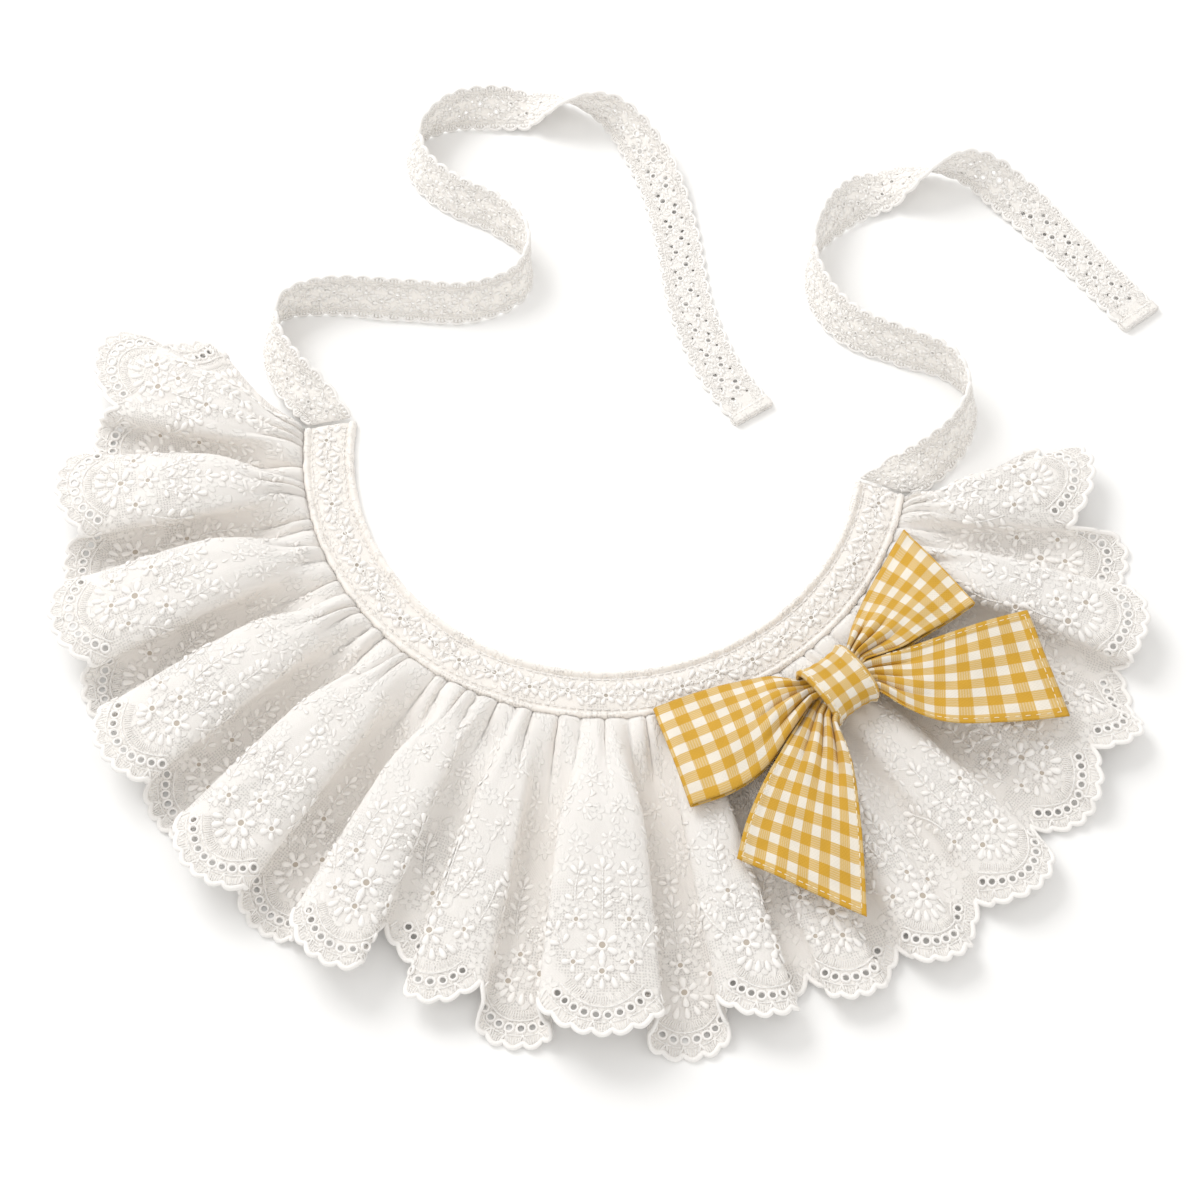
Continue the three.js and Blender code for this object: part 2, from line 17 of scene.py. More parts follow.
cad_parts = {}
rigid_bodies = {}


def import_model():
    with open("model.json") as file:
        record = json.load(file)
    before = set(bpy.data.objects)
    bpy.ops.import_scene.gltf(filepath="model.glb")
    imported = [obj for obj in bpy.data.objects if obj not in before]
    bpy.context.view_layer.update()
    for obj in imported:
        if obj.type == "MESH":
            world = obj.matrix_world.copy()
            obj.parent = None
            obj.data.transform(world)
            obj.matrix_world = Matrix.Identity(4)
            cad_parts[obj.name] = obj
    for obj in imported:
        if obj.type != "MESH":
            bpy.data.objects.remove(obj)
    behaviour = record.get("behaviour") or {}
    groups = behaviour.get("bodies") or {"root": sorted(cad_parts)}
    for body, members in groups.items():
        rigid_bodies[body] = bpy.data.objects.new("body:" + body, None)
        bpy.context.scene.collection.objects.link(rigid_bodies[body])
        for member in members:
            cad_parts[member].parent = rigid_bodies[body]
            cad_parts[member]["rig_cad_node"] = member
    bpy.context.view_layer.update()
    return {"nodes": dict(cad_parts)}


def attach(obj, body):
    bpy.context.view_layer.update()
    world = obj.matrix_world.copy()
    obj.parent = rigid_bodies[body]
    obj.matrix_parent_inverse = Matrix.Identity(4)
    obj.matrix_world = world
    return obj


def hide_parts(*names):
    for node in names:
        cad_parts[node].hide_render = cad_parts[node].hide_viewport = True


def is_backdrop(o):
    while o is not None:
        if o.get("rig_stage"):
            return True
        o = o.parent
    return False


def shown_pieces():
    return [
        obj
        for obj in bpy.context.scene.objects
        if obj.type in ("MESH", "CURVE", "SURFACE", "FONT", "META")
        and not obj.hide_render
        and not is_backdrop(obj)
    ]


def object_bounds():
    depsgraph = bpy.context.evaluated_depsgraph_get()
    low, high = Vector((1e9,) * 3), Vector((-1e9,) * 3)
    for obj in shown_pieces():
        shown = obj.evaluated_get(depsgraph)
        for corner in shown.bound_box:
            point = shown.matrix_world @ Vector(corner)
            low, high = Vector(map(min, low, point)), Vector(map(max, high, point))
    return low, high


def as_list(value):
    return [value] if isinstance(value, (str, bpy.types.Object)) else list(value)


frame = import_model()
print("CAD nodes:", ", ".join(sorted(frame["nodes"])))

# %% [markdown]
# ## Where everything is
# A collar is drafted round the centre of the neck curve, in millimetres, and so are the tables
# in this lesson. Two numbers carry every point to Blender's metres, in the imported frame.

# %% The neck centre and the way into metres
MM = 0.001
NECK_CENTRE = (-2.744, 30.331)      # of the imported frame, in millimetres


def to_metres(points):
    moved = np.array(points, float)
    moved[..., 0] += NECK_CENTRE[0]
    moved[..., 1] += NECK_CENTRE[1]
    return moved * MM


print("neck centre in metres:", to_metres((0, 0, 0)).round(4))

# %% [markdown]
# ## Camera, table and light
# The collar is looked down on from the front at 62 degrees, through a long lens. A wide soft
# lamp above and to the left leaves gentle shadows on a white table, and a pale world fills them.

# %% Camera
CAMERA_AZIMUTH = math.radians(7.5)
CAMERA_ELEVATION = math.radians(62)
CAMERA_DISTANCE = 0.8505
CAMERA_TARGET = Vector(to_metres((4.97, -49.32, 0)))

camera_data = bpy.data.cameras.new("camera")
camera_data.lens = 90
camera_data.sensor_width = 36
camera = bpy.data.objects.new("camera", camera_data)
bpy.context.scene.collection.objects.link(camera)
back = Vector((
    math.sin(CAMERA_AZIMUTH) * math.cos(CAMERA_ELEVATION),
    -math.cos(CAMERA_AZIMUTH) * math.cos(CAMERA_ELEVATION),
    math.sin(CAMERA_ELEVATION),
))
camera.location = CAMERA_TARGET + back * CAMERA_DISTANCE
camera.rotation_euler = (-back).to_track_quat("-Z", "Y").to_euler()
bpy.context.scene.camera = camera
print("camera at", tuple(round(value, 3) for value in camera.location))

# %% Table and lamps
TABLE_SIZE = 4.0
TABLE_GAP = 0.0001                  # keeps the table's face off the collar's underside

table_mesh = bpy.data.meshes.new("table")
half = TABLE_SIZE / 2
table_mesh.from_pydata(
    [(-half, -half, -TABLE_GAP), (half, -half, -TABLE_GAP),
     (half, half, -TABLE_GAP), (-half, half, -TABLE_GAP)], [], [(0, 1, 2, 3)])
table = bpy.data.objects.new("table", table_mesh)
bpy.context.scene.collection.objects.link(table)
table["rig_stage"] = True

Lamp = namedtuple("Lamp", "name x y z size energy")
LAMPS = [
    Lamp("key", -0.8, 0.7, 1.0, 0.75, 10.5),
    Lamp("front_fill", 0.5, -1.2, 1.2, 1.4, 2.0),
]
for lamp in LAMPS:
    data = bpy.data.lights.new(lamp.name, "AREA")
    data.size = lamp.size
    data.energy = lamp.energy
    light = bpy.data.objects.new(lamp.name, data)
    light.location = (lamp.x, lamp.y, lamp.z)
    aim = Vector((0, 0, 0)) - light.location
    light.rotation_euler = aim.to_track_quat("-Z", "Y").to_euler()
    bpy.context.scene.collection.objects.link(light)

WORLD_STRENGTH = 0.85
world = bpy.data.worlds.new("pale_room")
world.use_nodes = True
world.node_tree.nodes["Background"].inputs["Color"].default_value = (1.0, 0.985, 0.965, 1)
world.node_tree.nodes["Background"].inputs["Strength"].default_value = WORLD_STRENGTH
bpy.context.scene.world = world
bpy.context.scene.view_settings.view_transform = "Standard"
print(len(LAMPS), "lamps and a world of strength", WORLD_STRENGTH)

# %% [markdown]
# ## Helpers for curves and surfaces
# Every cloth piece is a function from a place on the flat cloth, in millimetres, to a point in
# space. Then a mesh, an eyelet or a stitch only needs its place on the flat cloth, and the
# function's slopes say which way the cloth runs and faces there.

# %% Easing, mixing and a curve through stations


def ease(share):
    t = np.clip(share, 0, 1)
    return t ** 3 * (t * (6 * t - 15) + 10)


def mix(start, end, share):
    return start + (end - start) * share


def curve_through(stations, shares):
    """A centripetal Catmull-Rom curve; shares run 0 to 1 over the stations."""
    known = np.array(stations, float)
    known = np.vstack([2 * known[0] - known[1], known, 2 * known[-1] - known[-2]])
    spans = len(stations) - 1
    place = np.clip(np.asarray(shares, float), 0, 1) * spans
    first = np.minimum(place.astype(int), spans - 1)
    w = (place - first)[:, None]
    p0, p1, p2, p3 = (known[first + step] for step in range(4))
    d0 = np.linalg.norm(p1 - p0, axis=1)[:, None] ** 0.5
    d1 = np.linalg.norm(p2 - p1, axis=1)[:, None] ** 0.5
    d2 = np.linalg.norm(p3 - p2, axis=1)[:, None] ** 0.5
    leave = ((p1 - p0) / d0 - (p2 - p0) / (d0 + d1) + (p2 - p1) / d1) * d1
    arrive = ((p2 - p1) / d1 - (p3 - p1) / (d1 + d2) + (p3 - p2) / d2) * d1
    bend = -3 * p1 + 3 * p2 - 2 * leave - arrive
    twist = 2 * p1 - 2 * p2 + leave + arrive
    return p1 + w * leave + w ** 2 * bend + w ** 3 * twist


def unit(vectors):
    return vectors / np.maximum(np.linalg.norm(vectors, axis=-1, keepdims=True), 1e-9)


def reach_along(points):
    """The distance walked along a line of points, at each of them."""
    steps = np.linalg.norm(np.diff(points, axis=0), axis=1)
    return np.concatenate([[0], np.cumsum(steps)])

def on_line(points, reach, at):
    """Places along a line of points, by the distance walked."""
    return np.column_stack([np.interp(at, reach, column) for column in np.transpose(points)])

def ripple(a, b, scale_a, scale_b, seed):
    """Smooth uneven noise of about -1 to 1 over a flat cloth."""
    places = zip(np.ravel(a * scale_a), np.ravel(b * scale_b))
    values = [noise.noise(Vector((x, y, seed))) for x, y in places]
    return np.array(values).reshape(np.shape(a))


Spot = namedtuple("Spot", "point along across facing")


def spots_on(surface, a, b, step=0.05):
    """Points of a surface, with the two directions of the cloth and the way it faces."""
    a = np.asarray(a, float)
    b = np.asarray(b, float)
    along = unit(surface(a + step, b) - surface(a - step, b))
    across = unit(surface(a, b + step) - surface(a, b - step))
    return Spot(surface(a, b), along, across, unit(np.cross(along, across)))


print("helpers ready; ease(0.5) is", float(ease(0.5)))

# %% [markdown]
# ## Helpers for meshes
# A piece is a mesh with smooth faces and a UV map called cloth, which holds its place on the
# flat cloth in metres. Patterns read that map, so threads and checks follow the cloth.

# %% Meshes, grids and thickness
CLOTH_MAP = "cloth"


def make_piece(name, points, faces, flat=None, finish=None):
    mesh = bpy.data.meshes.new(name)
    mesh.from_pydata(to_metres(points).tolist(), [], [tuple(face) for face in faces])
    mesh.shade_smooth()
    if flat is not None:
        corners = np.zeros(len(mesh.loops), int)
        mesh.loops.foreach_get("vertex_index", corners)
        layer = mesh.uv_layers.new(name=CLOTH_MAP)
        layer.data.foreach_set("uv", (np.asarray(flat)[corners] * MM).ravel())
    if finish is not None:
        mesh.materials.append(finish)
    piece = bpy.data.objects.new(name, mesh)
    bpy.context.scene.collection.objects.link(piece)
    return piece


def grid_places(values_a, values_b):
    """The places of a grid, row by row, and its faces."""
    a, b = np.meshgrid(values_a, values_b)
    wide = len(values_a)
    faces = []
    for row in range(len(values_b) - 1):
        for column in range(wide - 1):
            here = row * wide + column
            faces.append((here, here + 1, here + 1 + wide, here + wide))
    return a.ravel(), b.ravel(), faces


def baked(piece):
    """The piece with its modifiers made into plain mesh."""
    bpy.context.view_layer.update()
    graph = bpy.context.evaluated_depsgraph_get()
    mesh = bpy.data.meshes.new_from_object(piece.evaluated_get(graph))
    old = piece.data
    piece.modifiers.clear()
    piece.data = mesh
    mesh.name = piece.name
    bpy.data.meshes.remove(old)
    return piece


def thicken(piece, thickness):
    """Turns a single layer into cloth of a thickness in millimetres, half to each side."""
    solidify = piece.modifiers.new("thickness", "SOLIDIFY")
    solidify.thickness = thickness * MM
    solidify.offset = 0
    solidify.use_even_offset = False
    return baked(piece)


def triangles_of(piece):
    piece.data.calc_loop_triangles()
    return len(piece.data.loop_triangles)


def cloth_grid(name, surface, values_a, values_b, thickness, finish, shift=(0, 0)):
    """A grid of cloth. The shift, in millimetres, moves its pattern over it."""
    a, b, faces = grid_places(values_a, values_b)
    flat = np.column_stack([a, b]) + shift
    sheet = make_piece(name, surface(a, b), faces, flat, finish)
    return thicken(sheet, thickness)


print("the cloth map is called", CLOTH_MAP)

# %% [markdown]
# ## Short ways to build a finish
# Every finish below is a node tree made of the same few steps: a sum, a smooth step, noise and the
# place on the flat cloth. Each is a short function, so that a tree can be read like a recipe.

# %% Steps of a shader tree
def feed(tree, socket, value):
    """Links a socket to the output that feeds it, or sets it to a fixed value."""
    if isinstance(value, bpy.types.NodeSocket):
        tree.links.new(value, socket)
    else:
        socket.default_value = value

def node_maths(tree):
    """Ways to add a calculation and a smooth step to a tree."""
    def calculate(operation, first, second=None):
        node = tree.nodes.new("ShaderNodeMath")
        node.operation = operation
        feed(tree, node.inputs[0], first)
        if second is not None:
            feed(tree, node.inputs[1], second)
        return node.outputs[0]

    def step(value, start, end):
        node = tree.nodes.new("ShaderNodeMapRange")
        node.interpolation_type = "SMOOTHSTEP"
        node.inputs["From Min"].default_value = start
        node.inputs["From Max"].default_value = end
        feed(tree, node.inputs["Value"], value)
        return node.outputs[0]

    return calculate, step

def cloth_place(tree):
    """The place on the flat cloth, in metres."""
    node = tree.nodes.new("ShaderNodeUVMap")
    node.uv_map = CLOTH_MAP
    return node.outputs["UV"]

def scaled(tree, vector, scale):
    """A place or a colour, times a number."""
    node = tree.nodes.new("ShaderNodeVectorMath")
    node.operation = "SCALE"
    feed(tree, node.inputs[0], vector)
    feed(tree, node.inputs["Scale"], scale)
    return node.outputs[0]

def split_up(tree, vector):
    """The parts of a vector, by the names X, Y and Z."""
    node = tree.nodes.new("ShaderNodeSeparateXYZ")
    tree.links.new(vector, node.inputs[0])
    return node.outputs

def cloudy(tree, place, scale, detail):
    """Smooth noise of 0 to 1 over a place."""
    node = tree.nodes.new("ShaderNodeTexNoise")
    node.inputs["Scale"].default_value = scale
    node.inputs["Detail"].default_value = detail
    tree.links.new(place, node.inputs["Vector"])
    return node.outputs["Fac"]

def shader_group(name, inputs, outputs):
    """A node group with named numbers in and out: its tree, input node and output node."""
    tree = bpy.data.node_groups.new(name, "ShaderNodeTree")
    for label, value in inputs.items():
        socket = tree.interface.new_socket(
            name=label, in_out="INPUT", socket_type="NodeSocketFloat")
        socket.default_value = value
    for label in outputs:
        tree.interface.new_socket(name=label, in_out="OUTPUT", socket_type="NodeSocketFloat")
    return tree, tree.nodes.new("NodeGroupInput"), tree.nodes.new("NodeGroupOutput")

def placed_group(tree, group, values):
    """A node group set in a tree, with some of its inputs changed."""
    node = tree.nodes.new("ShaderNodeGroup")
    node.node_tree = group
    for label, value in values.items():
        node.inputs[label].default_value = value
    return node

print("steps ready for trees that read the map", CLOTH_MAP)

# %% [markdown]
# ## Thread and weave
# Lawn, tape and check cotton are all plain weaves: threads pass over and under each other. One
# node group makes that weave from the cloth map, with slubs and a faint unevenness of tone, and
# each material places it with its own thread count. Embroidery thread gets its own fine twist.

# %% The weave node group
WEAVE_INPUTS = {"Threads per metre": 2400.0, "Slub": 0.35, "Tone change": 0.06}

def weave_group():
    tree, into, out = shader_group("plain_weave", WEAVE_INPUTS, ("Height", "Tone"))
    calculate, _ = node_maths(tree)
    cloth = cloth_place(tree)
    threads = split_up(tree, scaled(tree, cloth, into.outputs["Threads per metre"]))
    warp = calculate("SINE", calculate("MULTIPLY", threads["X"], math.pi))
    weft = calculate("SINE", calculate("MULTIPLY", threads["Y"], math.pi))
    over = calculate("MULTIPLY", calculate("MULTIPLY", warp, weft), 0.5)
    slub = calculate("MULTIPLY", cloudy(tree, cloth, 900, 3), into.outputs["Slub"])
    tree.links.new(calculate("ADD", over, slub), out.inputs["Height"])
    drift = calculate("SUBTRACT", cloudy(tree, cloth, 120, 4), 0.5)
    change = calculate("MULTIPLY", drift, into.outputs["Tone change"])
    tree.links.new(calculate("ADD", change, 1.0), out.inputs["Tone"])
    return tree

WEAVE = weave_group()
print("weave inputs:", ", ".join(WEAVE_INPUTS))

# %% [markdown]
# ## Woven flowers and net
# Between the raised motifs the lawn has faint flowers of its own colour and patches of fine net.
# They are too small and too many to model. Both come from Voronoi cells over the cloth map: one
# flower or one mesh of the net in each cell, turned and bent by the cell's own random value. The
# net's openings are not cut: they are pressed in and painted darker, as painted shade.

# %% Node groups for woven flowers and net
def cells(tree, scale, randomness):
    """Cell distance, random value, and the place in the cell as x and y."""
    cloth = scaled(tree, cloth_place(tree), scale)
    cell = tree.nodes.new("ShaderNodeTexVoronoi")
    cell.voronoi_dimensions = "2D"
    cell.inputs["Scale"].default_value = 1
    cell.inputs["Randomness"].default_value = randomness
    tree.links.new(cloth, cell.inputs["Vector"])
    place = tree.nodes.new("ShaderNodeVectorMath")
    place.operation = "SUBTRACT"
    tree.links.new(cloth, place.inputs[0])
    tree.links.new(cell.outputs["Position"], place.inputs[1])
    chance = split_up(tree, cell.outputs["Color"])["X"]
    in_cell = split_up(tree, place.outputs[0])
    return cell.outputs["Distance"], chance, in_cell["X"], in_cell["Y"]

def woven_flowers_group():
    tree, into, out = shader_group("woven_flowers", {"Flowers per metre": 120.0}, ("Height",))
    calculate, step = node_maths(tree)
    distance, chance, x, y = cells(tree, into.outputs["Flowers per metre"], 0.75)
    turn = calculate("ADD", calculate("ARCTAN2", y, x), calculate("MULTIPLY", chance, 6.28))
    lobes = calculate("ABSOLUTE", calculate("COSINE", calculate("MULTIPLY", turn, 2.5)))
    rim = calculate("SUBTRACT", distance, calculate("MULTIPLY", lobes, 0.19))
    petals = calculate("MULTIPLY", step(rim, 0.17, 0.1), step(distance, 0.03, 0.09))
    side = calculate("ABSOLUTE", calculate("COSINE", turn))
    off = calculate("ABSOLUTE", calculate("SUBTRACT", distance, 0.45))
    leaves = calculate("MULTIPLY", step(side, 0.9, 0.97), step(off, 0.13, 0.08))
    tree.links.new(calculate("MAXIMUM", petals, leaves), out.inputs["Height"])
    return tree

def net_group():
    tree, into, out = shader_group(
        "net_ground", {"Meshes per metre": 1250.0, "Cover": 0.5}, ("Open",))
    calculate, step = node_maths(tree)
    distance, _, _, _ = cells(tree, into.outputs["Meshes per metre"], 0.35)
    patches = calculate("SUBTRACT", cloudy(tree, cloth_place(tree), 95, 1), 0.5)
    over = calculate("ADD", patches, calculate("SUBTRACT", into.outputs["Cover"], 0.5))
    meshes = calculate("MULTIPLY", step(distance, 0.36, 0.2), step(over, 0.0, 0.05))
    tree.links.new(meshes, out.inputs["Open"])
    return tree

WOVEN_FLOWERS = woven_flowers_group()
NET_GROUND = net_group()
print("node groups:", WEAVE.name, WOVEN_FLOWERS.name, NET_GROUND.name)

# %% White lace cloth and white embroidery thread
WEAVE_RELIEF = 0.16                 # in millimetres, as are the next three
THREAD_RELIEF = 0.1
NET_HEIGHT = 48                     # above the hem, where the lawn's net has ended
NET_FADE = 14
TWISTS_PER_METRE = 2600
WOVEN_FINISH = {
    "Roughness": 0.85, "Specular IOR Level": 0.2, "Sheen Roughness": 0.6,
    "Subsurface Weight": 0.5, "Subsurface Radius": (1.0, 0.98, 0.96),
    "Subsurface Scale": 1.5 * MM,
}
THREAD_FINISH = {"Roughness": 0.62, "Specular IOR Level": 0.35, "Sheen Weight": 0.15}

def new_material(name, settings):
    """A material with plain values on its shader: the material, its tree and its shader."""
    material = bpy.data.materials.new(name)
    material.use_nodes = True
    shader = material.node_tree.nodes["Principled BSDF"]
    for label, value in settings.items():
        shader.inputs[label].default_value = value
    return material, material.node_tree, shader

def add_bump(tree, shader, height, strength, distance):
    bump = tree.nodes.new("ShaderNodeBump")
    bump.inputs["Strength"].default_value = strength
    bump.inputs["Distance"].default_value = distance
    tree.links.new(height, bump.inputs["Height"])
    tree.links.new(bump.outputs["Normal"], shader.inputs["Normal"])

def woven(name, colour, threads, flowers, cover, sheen, net_below=None):
    """Plain weave with woven flowers, and with net below a height above the hem, if any."""
    material, tree, shader = new_material(name, {**WOVEN_FINISH, "Sheen Weight": sheen})
    calculate, step = node_maths(tree)
    weave = placed_group(tree, WEAVE, {"Threads per metre": threads})
    figure = placed_group(tree, WOVEN_FLOWERS, {"Flowers per metre": flowers}).outputs["Height"]
    open_net = placed_group(tree, NET_GROUND, {"Cover": cover}).outputs["Open"]
    if net_below is not None:
        up = split_up(tree, cloth_place(tree))["Y"]
        low = step(up, net_below * MM, (net_below - NET_FADE) * MM)
        open_net = calculate("MULTIPLY", open_net, low)
    open_net = calculate("MULTIPLY", open_net, calculate("SUBTRACT", 1.0, figure))
    tone = calculate("ADD", weave.outputs["Tone"], calculate("MULTIPLY", figure, 0.05))
    # Painted shade: the cloth's colour is darkened in the net's openings, where shade would show
    # through.
    tone = calculate("SUBTRACT", tone, calculate("MULTIPLY", open_net, 0.17))
    tree.links.new(scaled(tree, colour, tone), shader.inputs["Base Color"])
    height = calculate("ADD", calculate("MULTIPLY", weave.outputs["Height"], 0.35),
                       calculate("MULTIPLY", figure, 1.8))
    height = calculate("SUBTRACT", height, calculate("MULTIPLY", open_net, 1.2))
    add_bump(tree, shader, height, 0.8, WEAVE_RELIEF * MM)
    return material

def thread(name, colour):
    """Embroidery thread, with a fine twist in its tone and in its relief."""
    material, tree, shader = new_material(name, THREAD_FINISH)
    place = tree.nodes.new("ShaderNodeTexCoord")
    fibres = cloudy(tree, place.outputs["Object"], TWISTS_PER_METRE, 2)
    spread = tree.nodes.new("ShaderNodeMapRange")
    spread.inputs["To Min"].default_value = 0.93
    spread.inputs["To Max"].default_value = 1.04
    tree.links.new(fibres, spread.inputs["Value"])
    tree.links.new(scaled(tree, colour, spread.outputs[0]), shader.inputs["Base Color"])
    add_bump(tree, shader, fibres, 0.5, THREAD_RELIEF * MM)
    return material

LAWN = woven("lawn", (0.895, 0.853, 0.806), 2300, 115, 0.56, 0.25, NET_HEIGHT)
BAND_COTTON = woven("band_cotton", (0.86, 0.822, 0.778), 1900, 190, 0.44, 0.2)
TAPE_COTTON = woven("tape_cotton", (0.9, 0.862, 0.818), 1700, 230, 0.34, 0.2)
WHITE_THREAD = thread("white_thread", (0.93, 0.91, 0.885))
NATURAL_THREAD = thread("natural_thread", (0.88, 0.855, 0.825))
print("white finishes:", LAWN.name, BAND_COTTON.name, TAPE_COTTON.name, WHITE_THREAD.name)

# %% Painted shade for the dark middle of a pinhole, on flat discs where the cloth is not cut
SHADE = thread("pinhole_shade", (0.4, 0.355, 0.3))
FLOWER_SHADE = thread("flower_shade", (0.5, 0.44, 0.375))
print("pinholes are shown by", SHADE.name, "and", FLOWER_SHADE.name)

# %% The table's plain finish
table_paint, _, table_shader = new_material(
    "plain_table", {"Base Color": (0.95, 0.95, 0.945, 1), "Roughness": 0.9})
table.data.materials.append(table_paint)
print("table colour:", table_shader.inputs["Base Color"].default_value[0])

# %% [markdown]
# ## Gingham
# Gingham is woven from stripes of dyed and undyed yarn in both directions. Where dyed crosses
# dyed the square is full mustard, where it crosses undyed it is a paler mix in which single
# threads show, and undyed over undyed is off-white. The check here is an eighth of an inch.

# %% The gingham material
CHECK = 3.175                       # one square of the check
MUSTARD = (0.585, 0.328, 0.035)
MIXED = (0.62, 0.405, 0.11)
UNDYED = (0.77, 0.715, 0.62)


THREAD_PITCH = 0.62                 # of the threads that show where dyed crosses undyed
STRIPE_EDGE = (0.272, 0.252)        # share of a repeat where a stripe begins to blur and is full
GINGHAM_FINISH = {"Roughness": 0.82, "Specular IOR Level": 0.2, "Sheen Weight": 0.15}

def mixed(tree, factor, first, second):
    """A mix of two colours, each a fixed one or the output of a node."""
    node = tree.nodes.new("ShaderNodeMix")
    node.data_type = "RGBA"
    tree.links.new(factor, node.inputs["Factor"])
    for label, value in (("A", first), ("B", second)):
        socket = next(s for s in node.inputs if s.name == label and s.type == "RGBA")
        feed(tree, socket, (*value, 1) if isinstance(value, tuple) else value)
    return next(s for s in node.outputs if s.type == "RGBA")

def gingham():
    material, tree, shader = new_material("gingham", GINGHAM_FINISH)
    calculate, _ = node_maths(tree)
    places = split_up(tree, cloth_place(tree))
    stripes = []
    threads = []
    for axis in ("X", "Y"):
        repeats = calculate("DIVIDE", places[axis], 2 * CHECK * MM)
        share = calculate("FRACT", calculate("ADD", repeats, 100.0))
        edge = calculate("ABSOLUTE", calculate("SUBTRACT", share, 0.5))
        soft = tree.nodes.new("ShaderNodeMapRange")
        soft.inputs["From Min"].default_value = STRIPE_EDGE[0]
        soft.inputs["From Max"].default_value = STRIPE_EDGE[1]
        tree.links.new(edge, soft.inputs["Value"])
        stripes.append(soft.outputs[0])
        turns = calculate("MULTIPLY", places[axis], 2 * math.pi / (THREAD_PITCH * MM))
        threads.append(calculate("SINE", turns))
    both = calculate("MULTIPLY", stripes[0], stripes[1])
    either = calculate("MAXIMUM", stripes[0], stripes[1])
    lines = calculate("ADD", calculate("MULTIPLY", threads[0], stripes[0]),
                      calculate("MULTIPLY", threads[1], stripes[1]))
    hatch = calculate("ADD", 0.84, calculate("MULTIPLY", lines, 0.16))
    half_dyed = mixed(tree, hatch, UNDYED, MIXED)
    base = mixed(tree, either, UNDYED, half_dyed)
    base = mixed(tree, both, base, MUSTARD)
    weave = placed_group(tree, WEAVE, {"Threads per metre": 1900, "Tone change": 0.3})
    tree.links.new(scaled(tree, base, weave.outputs["Tone"]), shader.inputs["Base Color"])
    add_bump(tree, shader, weave.outputs["Height"], 0.7, 0.09 * MM)
    return material

GINGHAM = gingham()
print("one repeat of the check is", 2 * CHECK, "mm")

# %% [markdown]
# ## Stitches as instances
# Embroidery is the same few marks made hundreds of times: a satin petal, a ring round an eyelet,
# a straight stitch, and a flat disc that carries painted shade for the dark middle of a pinhole.
# Each is modelled once, with few faces. A geometry node tree then sets it on a cloud of points.
# The points carry where the cloth faces, which way the stitch runs and how big it is, and a
# seeded unevenness keeps the row from looking printed.

# %% The four marks
def mark_object(name, points, faces):
    mesh = bpy.data.meshes.new(name)
    mesh.from_pydata(points, [], faces)
    mesh.shade_smooth()
    return bpy.data.objects.new(name, mesh)

def tube_faces(rows, sides, closed=False):
    """Faces between rows of points that lie round a tube."""
    faces = []
    for row in range(rows if closed else rows - 1):
        here = row * sides
        there = (row + 1) % rows * sides
        for side in range(sides):
            after = (side + 1) % sides
            faces.append((here + side, there + side, there + after, here + after))
    return faces

def loft_unit(name, stations, sides):
    """A small closed form: rows of (x, half width, height) with round sections."""
    points = [(stations[0][0], 0, 0)]
    for x, half_width, height in stations[1:-1]:
        for side in range(sides):
            angle = 2 * math.pi * side / sides
            lift = math.sin(angle)
            z = height * lift if lift > 0 else 0.25 * height * lift
            points.append((x, half_width * math.cos(angle), z))
    points.append((stations[-1][0], 0, 0))
    rings = len(stations) - 2
    faces = []
    for side in range(sides):
        after = (side + 1) % sides
        faces.append((0, 1 + after, 1 + side))
        for ring in range(rings - 1):
            here = 1 + ring * sides
            faces.append((here + side, here + after, here + sides + after, here + sides + side))
        last = 1 + (rings - 1) * sides
        faces.append((len(points) - 1, last + side, last + after))
    return mark_object(name, points, faces)

def ring_unit(name, around, sides, tube):
    points = []
    for step in range(around):
        turn = 2 * math.pi * step / around
        for side in range(sides):
            angle = 2 * math.pi * side / sides
            radius = 1 + tube * math.cos(angle)
            points.append((radius * math.cos(turn), radius * math.sin(turn), math.sin(angle)))
    return mark_object(name, points, tube_faces(around, sides, closed=True))

def disc_unit(name, sides):
    turns = [2 * math.pi * side / sides for side in range(sides)]
    points = [(math.cos(turn), math.sin(turn), 0) for turn in turns]
    return mark_object(name, points, [tuple(range(sides))])

PETAL = loft_unit("petal_mark", [
    (-0.5, 0, 0), (-0.36, 0.22, 0.7), (-0.05, 0.42, 1.0), (0.28, 0.48, 0.95),
    (0.45, 0.26, 0.6), (0.5, 0, 0)], 6)
STITCH = loft_unit("stitch_mark", [
    (-0.5, 0, 0), (-0.38, 0.45, 0.85), (0.38, 0.45, 0.85), (0.5, 0, 0)], 5)
RING = ring_unit("ring_mark", 12, 5, 0.34)
# The pinhole mark is a flat disc, not a hole: with a dark finish it is painted shade for a
# pinhole's middle.
SHADE_DISC = disc_unit("pinhole_mark", 8)
print("faces of a petal, a stitch, a ring and a pinhole:",
      [len(mark.data.polygons) for mark in (PETAL, STITCH, RING, SHADE_DISC)])

# %% The tree that sews a mark on points
SEWING_INPUTS = {
    "Points": "NodeSocketGeometry", "Mark": "NodeSocketObject", "Finish": "NodeSocketMaterial",
    "Unevenness": "NodeSocketFloat", "Seed": "NodeSocketInt",
}

